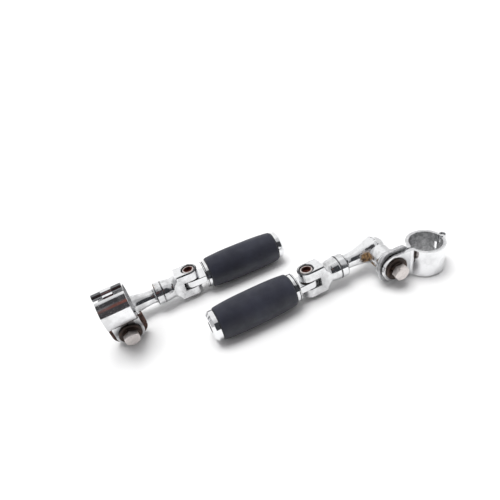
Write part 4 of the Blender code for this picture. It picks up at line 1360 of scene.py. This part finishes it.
def chrome_surface(name, colours, haze, pits, cast=0.0, clouding=0.4):
    """Worn chrome plating with haze, pits, dull patches, grime with painted shade, painted dark reflections
    on its rounded edges, and rust where the piece carries them.
    """
    made, nodes, shader, place = new_surface(name)
    fine_cloud = nodes.math("MULTIPLY", grain(nodes, place, 210.0), 0.35)
    cloud = nodes.math("ADD", grain(nodes, place, 34.0, 4.0), fine_cloud)
    tarnish = between(nodes, cloud, 0.60, 0.92, 0.0, clouding)
    plate = mix_colours(nodes, tarnish, opaque(colours.chrome), TARNISH)
    specks = between(nodes, grain(nodes, place, 1500.0, 2.0, 0.5), 0.74 - 0.08 * pits, 0.80 - 0.08 * pits)
    specks = nodes.math("MULTIPLY", specks, pits)
    plate = mix_colours(nodes, specks, plate, PLATING_PIT)
    dull = wear_on(nodes, "dull")
    mottle = between(nodes, grain(nodes, place, 320.0, 5.0, 0.7), 0.35, 0.65)
    grey = mix_colours(nodes, mottle, DULL_DARK, DULL_PALE)
    plate = mix_colours(nodes, dull, plate, grey)
    # Painted dark reflection on the rounded edges, broken up by a grain, joined to the grime and painted
    # shade
    broken = between(nodes, grain(nodes, place, 110.0, 3.0), 0.3, 0.6, 0.5, 0.95)
    line = nodes.math("MULTIPLY", wear_on(nodes, "edge"), broken)
    grime_and_painted_shade = wear_on(nodes, "grime_and_painted_shade")
    grime_and_painted_shade = nodes.math("MAXIMUM", grime_and_painted_shade, line)
    plate = mix_colours(nodes, grime_and_painted_shade, plate, GRIME_AND_PAINTED_SHADE)
    rusty = rust_share(nodes, place, 0.24, 0.74)
    base = mix_colours(nodes, rusty, plate, rust_colour(nodes, place, colours.rust))
    nodes.link(base, shader.inputs["Base Color"])
    dull_part = nodes.math("MULTIPLY", dull, 0.4)
    bare = nodes.math("MAXIMUM", nodes.math("MULTIPLY", rusty, 0.85), dull_part)
    nodes.link(nodes.math("SUBTRACT", 1.0, bare), shader.inputs["Metallic"])
    smear = between(nodes, grain(nodes, place, 90.0, 5.0, 0.6, 0.6), 0.4, 0.8, haze, haze + 0.14)
    rough = nodes.math("ADD", smear, nodes.math("MULTIPLY", dull, 0.34))
    rough = nodes.math("ADD", rough, nodes.math("MULTIPLY", specks, 0.3))
    rough = nodes.math("MAXIMUM", rough, nodes.math("MULTIPLY", rusty, 0.8))
    nodes.link(rough, shader.inputs["Roughness"])
    ripple = nodes.math("MULTIPLY", grain(nodes, place, 140.0, 2.0), cast)
    height = nodes.math("SUBTRACT", ripple, nodes.math("MULTIPLY", specks, 0.6))
    height = nodes.math("ADD", height, nodes.math("MULTIPLY", nodes.math("MULTIPLY", dull, mottle), 0.5))
    height = nodes.math("ADD", height, nodes.math("MULTIPLY", rusty, grain(nodes, place, 900.0, 4.0)))
    emboss(nodes, shader, height, 0.35, 0.0003)
    return made


def rubber_surface(colours):
    """Matt rubber with moulding grain, scuffs and a dusty bloom."""
    made, nodes, shader, place = new_surface("scuffed_rubber")
    cloud = between(nodes, grain(nodes, place, 45.0, 5.0, 0.6), 0.35, 0.75)
    bloom = tuple(2.0 * part + 0.006 for part in colours.rubber)
    base = mix_colours(nodes, nodes.math("MULTIPLY", cloud, 0.5), opaque(colours.rubber), opaque(bloom))
    stretched = nodes.add("ShaderNodeMapping", {"Vector": place, "Scale": (1.0, 5.0, 5.0)}).outputs[0]
    scuffs = between(nodes, grain(nodes, stretched, 160.0, 6.0, 0.72, 1.2), 0.60, 0.74)
    base = mix_colours(nodes, nodes.math("MULTIPLY", scuffs, 0.28), base, RUBBER_SCUFF)
    nodes.link(base, shader.inputs["Base Color"])
    rough = between(nodes, grain(nodes, place, 120.0, 4.0), 0.3, 0.7, 0.50, 0.66)
    nodes.link(rough, shader.inputs["Roughness"])
    shader.inputs["Specular IOR Level"].default_value = 0.50
    shader.inputs["Sheen Weight"].default_value = 0.08
    shader.inputs["Sheen Roughness"].default_value = 0.45
    fine = grain(nodes, place, 2200.0, 3.0, 0.6)
    height = nodes.math("ADD", fine, nodes.math("MULTIPLY", grain(nodes, place, 260.0, 5.0), 1.4))
    emboss(nodes, shader, height, 0.42, 0.00025)
    return made


def bolt_surface(colours):
    """Dull plating on bolt heads, pinkish, pitted and worn at the edges, with painted shade where the piece
    carries it.
    """
    made, nodes, shader, place = new_surface("worn_bolt_plating")
    cloud = between(nodes, grain(nodes, place, 190.0, 5.0, 0.65), 0.35, 0.7)
    pale = tuple(min(1.0, 1.18 * part) for part in colours.bolt)
    base = mix_colours(nodes, cloud, opaque(colours.bolt), opaque(pale))
    pits = between(nodes, grain(nodes, place, 1100.0, 3.0, 0.55), 0.63, 0.70)
    base = mix_colours(nodes, nodes.math("MULTIPLY", pits, 0.75), base, BOLT_PIT)
    # Painted shade that the piece carries darkens the plating
    grime_and_painted_shade = wear_on(nodes, "grime_and_painted_shade")
    base = mix_colours(nodes, nodes.math("MULTIPLY", grime_and_painted_shade, 0.9), base, BOLT_PAINTED_SHADE)
    rusty = rust_share(nodes, place, 0.35, 0.6)
    base = mix_colours(nodes, rusty, base, rust_colour(nodes, place, SOCKET_RUST))
    nodes.link(base, shader.inputs["Base Color"])
    metallic = nodes.math("SUBTRACT", 0.9, nodes.math("MULTIPLY", rusty, 0.8))
    nodes.link(metallic, shader.inputs["Metallic"])
    rough = between(nodes, grain(nodes, place, 150.0, 4.0), 0.3, 0.7, 0.34, 0.50)
    rough = nodes.math("MAXIMUM", rough, nodes.math("MULTIPLY", rusty, 0.8))
    nodes.link(rough, shader.inputs["Roughness"])
    height = nodes.math("SUBTRACT", nodes.math("MULTIPLY", cloud, 0.3), pits)
    emboss(nodes, shader, height, 0.5, 0.0002)
    return made


def washer_surface(colours):
    """Blackened steel with oily brown patches."""
    made, nodes, shader, place = new_surface("blackened_steel")
    cloud = between(nodes, grain(nodes, place, 240.0, 5.0, 0.65), 0.35, 0.7)
    base = mix_colours(nodes, cloud, opaque(colours.washer), OILY_BROWN)
    nodes.link(base, shader.inputs["Base Color"])
    shader.inputs["Metallic"].default_value = 0.75
    rough = between(nodes, grain(nodes, place, 180.0, 4.0), 0.3, 0.7, 0.28, 0.52)
    nodes.link(rough, shader.inputs["Roughness"])
    height = grain(nodes, place, 700.0, 4.0)
    emboss(nodes, shader, height, 0.3, 0.0002)
    return made


def surface_for(name):
    """The material of this name, made when it is first asked for."""
    found = bpy.data.materials.get(name)
    if found:
        return found
    colours = bpy.context.scene.finish_colours
    chromes = {
        "polished_chrome": {"haze": 0.03, "pits": 0.3},
        "cast_chrome": {"haze": 0.08, "pits": 0.6, "cast": 0.6, "clouding": 0.85},
        "strap_chrome": {"haze": 0.06, "pits": 0.6, "cast": 0.25, "clouding": 0.6},
    }
    if name in chromes:
        return chrome_surface(name, colours, **chromes[name])
    others = {
        "scuffed_rubber": rubber_surface,
        "worn_bolt_plating": bolt_surface,
        "blackened_steel": washer_surface,
    }
    return others[name](colours)


# Placing


def axes_matrix(origin, x_axis, y_axis):
    """Matrix of a frame with this origin, X and Y axis."""
    x_axis, y_axis = Vector(x_axis).normalized(), Vector(y_axis).normalized()
    turned_axes = Matrix((x_axis, y_axis, x_axis.cross(y_axis))).transposed().to_4x4()
    return Matrix.Translation(origin) @ turned_axes


def piece_frames(side):
    """Frames of one peg: on its pivot, on the arm's clamp end and in the clamp."""
    joints = {joint["name"]: joint for joint in frame["joints"]}
    fold = joints[side + "_peg_fold"]
    swivel = joints[side + "_clevis_swivel"]
    swing = joints[side + "_arm_swing"]
    sideways = Vector(fold["axis"]).cross(Vector(swivel["axis"]))
    pivot = axes_matrix(fold["pos_m"], swivel["axis"], sideways)
    arm_end = axes_matrix(swing["pos_m"], swivel["axis"], swing["axis"])
    middle = -sum(swing["range_deg"]) / 2
    clamp = arm_end @ Matrix.Rotation(math.radians(180 - middle), 4, "Y")
    return {"pivot": pivot, "arm_end": arm_end, "clamp": clamp}


def set_attribute(mesh, name, values, domain="POINT"):
    """Keeps a number for each vertex, or for each face."""
    layer = mesh.attributes.new(name, "FLOAT", domain)
    layer.data.foreach_set("value", np.ascontiguousarray(values, dtype=np.float32))


def edge_faces(mesh, widest=0.45, bend=17.0):
    """Marks the narrow faces that round the edges of a pattern."""
    bm = bmesh.new()
    bm.from_mesh(mesh)
    marks = np.zeros(len(bm.faces), dtype=np.float32)
    for edge in bm.edges:
        if len(edge.link_faces) == 2 and edge.calc_face_angle(0.0) > math.radians(bend):
            for face in edge.link_faces:
                longest = max(side.calc_length() for side in face.edges)
                if face.calc_area() < widest * longest:
                    marks[face.index] = 1.0
    bm.free()
    return marks


# Frame, surface, material slot, body, and wear with painted shade of each piece
FITTINGS = {
    "rubber_sleeve": ("pivot", "scuffed_rubber", "rubber", "SIDE_peg", no_wear),
    "peg_core": ("pivot", "polished_chrome", "chrome", "SIDE_peg", no_wear),
    "collar_ring": ("pivot", "polished_chrome", "chrome", "SIDE_peg", no_wear),
    "end_cap": ("pivot", "polished_chrome", "chrome", "SIDE_peg", no_wear),
    "end_cap_screw": ("pivot", "worn_bolt_plating", "worn_zinc", "SIDE_peg", no_wear),
    "clevis": ("pivot", "cast_chrome", "chrome", "SIDE_clevis", clevis_wear_and_shade),
    "pivot_screw": ("pivot", "worn_bolt_plating", "worn_zinc", "SIDE_clevis", pivot_screw_wear),
    "pivot_nut": ("pivot", "worn_bolt_plating", "worn_zinc", "SIDE_clevis", no_wear),
    "spring_washer": ("pivot", "blackened_steel", "dark_steel", "SIDE_peg", no_wear),
    "offset_arm": ("arm_end", "cast_chrome", "chrome", "SIDE_arm", arm_wear),
    "swivel_set_screw": ("arm_end", "blackened_steel", "dark_steel", "SIDE_arm", no_wear),
    "clamp_hook_half": ("clamp", "strap_chrome", "chrome", "clamps", hook_half_wear),
    "clamp_tongue_half": ("clamp", "strap_chrome", "chrome", "clamps", tongue_half_wear_and_shade),
    "clamp_bolt": ("clamp", "worn_bolt_plating", "worn_zinc", "clamps", clamp_bolt_painted_shade),
    "lock_washer": ("clamp", "blackened_steel", "dark_steel", "clamps", no_wear),
    "flat_washer": ("clamp", "blackened_steel", "dark_steel", "clamps", no_wear),
}


def place_pair(pattern):
    """Makes the front and rear piece from one pattern, in the places of their nodes."""
    name = pattern.name.split(".")[0]
    frame_name, surface, slot, bodies, wear = FITTINGS[name]
    local = coordinates(pattern.data)
    # Edge faces, on which the chrome paints a dark reflection
    set_attribute(pattern.data, "edge", edge_faces(pattern.data), "FACE")
    for side in SIDES:
        node = side + "_" + name
        mesh = pattern.data.copy()
        mesh.name = node + "_finished"
        for attribute, values in wear(local, side).items():
            set_attribute(mesh, attribute, values)
        mesh.transform(piece_frames(side)[frame_name] @ Matrix.Scale(MM, 4))
        mesh.materials.clear()
        mesh.materials.append(surface_for(surface))
        mesh.shade_smooth()
        mesh.set_sharp_from_angle(angle=SHARP_ANGLE)
        piece = bpy.data.objects.new(node + "_finished", mesh)
        bpy.context.scene.collection.objects.link(piece)
        weigh = piece.modifiers.new("even_shading", "WEIGHTED_NORMAL")
        weigh.keep_sharp = True
        weigh.weight = SHADING_WEIGHT
        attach(piece, bodies.replace("SIDE", side))
        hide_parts(node)
    drop(pattern)


def make_pieces(scene, *makers):
    """Makes patterns one after the other and puts each on both pegs."""
    for make in makers:
        place_pair(make(scene))
    return {"FINISHED"}


# Operators


class PEGS_OT_rubber_sleeves(Operator):
    """Make the barrel shaped rubber sleeves"""

    bl_idname = "pegs.rubber_sleeves"
    bl_label = "Rubber sleeves"

    def execute(self, context):
        return make_pieces(context.scene, make_rubber_sleeve)


class PEGS_OT_peg_cores(Operator):
    """Make the cores with their tongues, and the collar rings"""

    bl_idname = "pegs.peg_cores"
    bl_label = "Peg cores and collar rings"

    def execute(self, context):
        return make_pieces(context.scene, make_peg_core, make_collar_ring)


class PEGS_OT_end_caps(Operator):
    """Make the end caps and their screws"""

    bl_idname = "pegs.end_caps"
    bl_label = "End caps"

    def execute(self, context):
        return make_pieces(context.scene, make_end_cap, make_end_cap_screw)


class PEGS_OT_clevises(Operator):
    """Make the forks that the pegs fold in"""

    bl_idname = "pegs.clevises"
    bl_label = "Clevises"

    def execute(self, context):
        return make_pieces(context.scene, make_clevis)


class PEGS_OT_pivot_fasteners(Operator):
    """Make the pivot screws with their nuts and spring washers"""

    bl_idname = "pegs.pivot_fasteners"
    bl_label = "Pivot screws, nuts and washers"

    def execute(self, context):
        return make_pieces(context.scene, make_pivot_screw, make_pivot_nut, make_spring_washer)


class PEGS_OT_offset_arms(Operator):
    """Make the cast arms and their set screws"""

    bl_idname = "pegs.offset_arms"
    bl_label = "Offset arms"

    def execute(self, context):
        return make_pieces(context.scene, make_offset_arm, make_swivel_set_screw)


class PEGS_OT_clamp_halves(Operator):
    """Make the hinged halves of the tube clamps"""

    bl_idname = "pegs.clamp_halves"
    bl_label = "Clamp halves"

    def execute(self, context):
        return make_pieces(context.scene, make_clamp_hook_half, make_clamp_tongue_half)


class PEGS_OT_clamp_bolts(Operator):
    """Make the clamp bolts with their lock washers and flat washers"""

    bl_idname = "pegs.clamp_bolts"
    bl_label = "Clamp bolts and washers"

    def execute(self, context):
        return make_pieces(context.scene, make_clamp_bolt, make_lock_washer, make_flat_washer)


# Parts of the room: azimuth, elevation, half width, half height and softness in degrees,
# and the colour
ROOM_CARDS = (
    (180.0, 10.0, 85.0, 70.0, 20.0, (0.62, 0.62, 0.63)),
    (-80.0, 20.0, 30.0, 45.0, 22.0, (0.52, 0.52, 0.53)),
    (55.0, 15.0, 25.0, 22.0, 12.0, (0.74, 0.74, 0.74)),
    (202.0, 26.0, 17.0, 32.0, 8.0, (0.24, 0.24, 0.25)),
    (171.0, 24.0, 18.0, 31.0, 4.0, (0.050, 0.052, 0.058)),
    (188.0, 37.0, 8.0, 40.0, 2.5, (0.060, 0.056, 0.060)),
    (205.0, 66.0, 24.0, 13.0, 2.5, (0.060, 0.058, 0.062)),
    (188.0, 42.0, 7.0, 8.0, 3.0, (0.20, 0.075, 0.060)),
)
BACKDROP = (0.93, 0.93, 0.93, 1.0)
KEY_DIRECTION = (-0.05, 0.13, 1.00)
CAMERA_LENS = 33.81
CAMERA_PLACE = (
    (0.8966, 0.3847, -0.2194, -0.1138),
    (-0.3942, 0.4674, -0.7913, -0.3526),
    (-0.2019, 0.7960, 0.5707, 0.3190),
    (0.0, 0.0, 0.0, 1.0),
)
FLOOR_HALF = 12.0
FLOOR_DROP = 0.00002


def make_floor(settings):
    """Plain pale floor just under the pieces."""
    half, low = FLOOR_HALF, CAD_BOX[0].z - FLOOR_DROP
    bm = bmesh.new()
    corners = [(-half, -half, low), (half, -half, low), (half, half, low), (-half, half, low)]
    bm.faces.new([bm.verts.new(corner) for corner in corners])
    floor = make_object("floor", bm)
    made, nodes, shader, place = new_surface("pale_floor")
    cloud = between(nodes, grain(nodes, place, 3.0, 2.0), 0.3, 0.7)
    shade = tuple(0.985 * part for part in settings.floor)
    base = mix_colours(nodes, cloud, opaque(settings.floor), opaque(shade))
    nodes.link(base, shader.inputs["Base Color"])
    shader.inputs["Roughness"].default_value = 0.7
    shader.inputs["Specular IOR Level"].default_value = 0.2
    floor.data.materials.append(made)


def make_room(settings):
    """White room with dark and shaded parts for the chrome, and a plain backdrop."""
    world = bpy.data.worlds.new("white_room")
    world.use_nodes = True
    nodes = Nodes(world.node_tree)
    background = world.node_tree.nodes["Background"]
    heading = nodes.add("ShaderNodeTexCoord").outputs["Generated"]
    height = nodes.add("ShaderNodeSeparateXYZ", {"Vector": heading}).outputs["Z"]
    elevation = nodes.math("ARCSINE", height)
    light = (1.0, 1.0, 1.0, 1.0)
    for azimuth, level, wide, tall, soft, colour in ROOM_CARDS:
        turned_back = nodes.add("ShaderNodeVectorRotate", {
            "Vector": heading, "Angle": math.radians(azimuth),
        }, rotation_type="Z_AXIS").outputs[0]
        parts = nodes.add("ShaderNodeSeparateXYZ", {"Vector": turned_back}).outputs
        aside = nodes.math("ABSOLUTE", nodes.math("ARCTAN2", parts["X"], parts["Y"]))
        above = nodes.math("ABSOLUTE", nodes.math("SUBTRACT", elevation, math.radians(level)))
        half_wide, half_tall, half_soft = (math.radians(part) for part in (wide, tall, soft))
        in_width = between(nodes, aside, half_wide - half_soft, half_wide + half_soft, 1.0, 0.0)
        in_height = between(nodes, above, half_tall - half_soft, half_tall + half_soft, 1.0, 0.0)
        light = mix_colours(nodes, nodes.math("MULTIPLY", in_width, in_height), light, opaque(colour))
    seen = nodes.add("ShaderNodeLightPath").outputs["Is Camera Ray"]
    light = mix_colours(nodes, seen, light, BACKDROP)
    nodes.link(light, background.inputs["Color"])
    background.inputs["Strength"].default_value = settings.room_light
    bpy.context.scene.world = world


def make_key_light(settings):
    """Soft light from above, which the chrome doesn't mirror."""
    lamp = bpy.data.lights.new("soft_key", "SUN")
    lamp.energy = settings.key_strength
    lamp.angle = settings.key_softness
    holder = bpy.data.objects.new("soft_key", lamp)
    holder.rotation_euler = Vector(KEY_DIRECTION).to_track_quat("Z", "Y").to_euler()
    holder.visible_glossy = False
    bpy.context.scene.collection.objects.link(holder)


def make_camera():
    """Camera at the photograph's viewing angle."""
    data = bpy.data.cameras.new("camera")
    data.lens = CAMERA_LENS
    data.sensor_width = 36.0
    data.clip_start = 0.01
    camera = bpy.data.objects.new("camera", data)
    camera.matrix_world = Matrix(CAMERA_PLACE)
    bpy.context.scene.collection.objects.link(camera)
    bpy.context.scene.camera = camera


class PEGS_OT_studio(Operator):
    """Make the floor, the lights and the camera"""

    bl_idname = "pegs.studio"
    bl_label = "Studio"

    def execute(self, context):
        settings = context.scene.studio_settings
        make_floor(settings)
        make_room(settings)
        make_key_light(settings)
        make_camera()
        context.scene.view_settings.view_transform = "Standard"
        context.scene.view_settings.look = "None"
        return {"FINISHED"}


GROUPS = (
    ("peg_sizes", PegSizes),
    ("arm_sizes", ArmSizes),
    ("clamp_sizes", ClampSizes),
    ("finish_colours", FinishColours),
    ("studio_settings", StudioSettings),
)
OPERATORS = (
    PEGS_OT_rubber_sleeves,
    PEGS_OT_peg_cores,
    PEGS_OT_end_caps,
    PEGS_OT_clevises,
    PEGS_OT_pivot_fasteners,
    PEGS_OT_offset_arms,
    PEGS_OT_clamp_halves,
    PEGS_OT_clamp_bolts,
    PEGS_OT_studio,
)


class PEGS_PT_sidebar(Panel):
    """Lists the sizes, the colours and the operators"""

    bl_label = "Highway pegs"
    bl_idname = "PEGS_PT_sidebar"
    bl_space_type = "VIEW_3D"
    bl_region_type = "UI"
    bl_category = "Pegs"

    def draw(self, context):
        for name, group in GROUPS:
            box = self.layout.box()
            box.label(text=group.__doc__)
            for key in group.__annotations__:
                box.prop(getattr(context.scene, name), key)
        for operator in OPERATORS:
            self.layout.operator(operator.bl_idname)


def register():
    """Registers the classes and hangs the settings on the scene."""
    for item in [group for _, group in GROUPS] + list(OPERATORS) + [PEGS_PT_sidebar]:
        bpy.utils.register_class(item)
    for name, group in GROUPS:
        setattr(bpy.types.Scene, name, PointerProperty(type=group))


def unregister():
    """Takes the settings off the scene and unregisters the classes."""
    for name, _ in GROUPS:
        delattr(bpy.types.Scene, name)
    for item in [PEGS_PT_sidebar] + list(OPERATORS) + [group for _, group in GROUPS]:
        bpy.utils.unregister_class(item)


def main():
    """Makes every piece and the studio."""
    register()
    for operator in OPERATORS:
        group, action = operator.bl_idname.split(".")
        getattr(getattr(bpy.ops, group), action)()


if __name__ == "__main__":
    main()
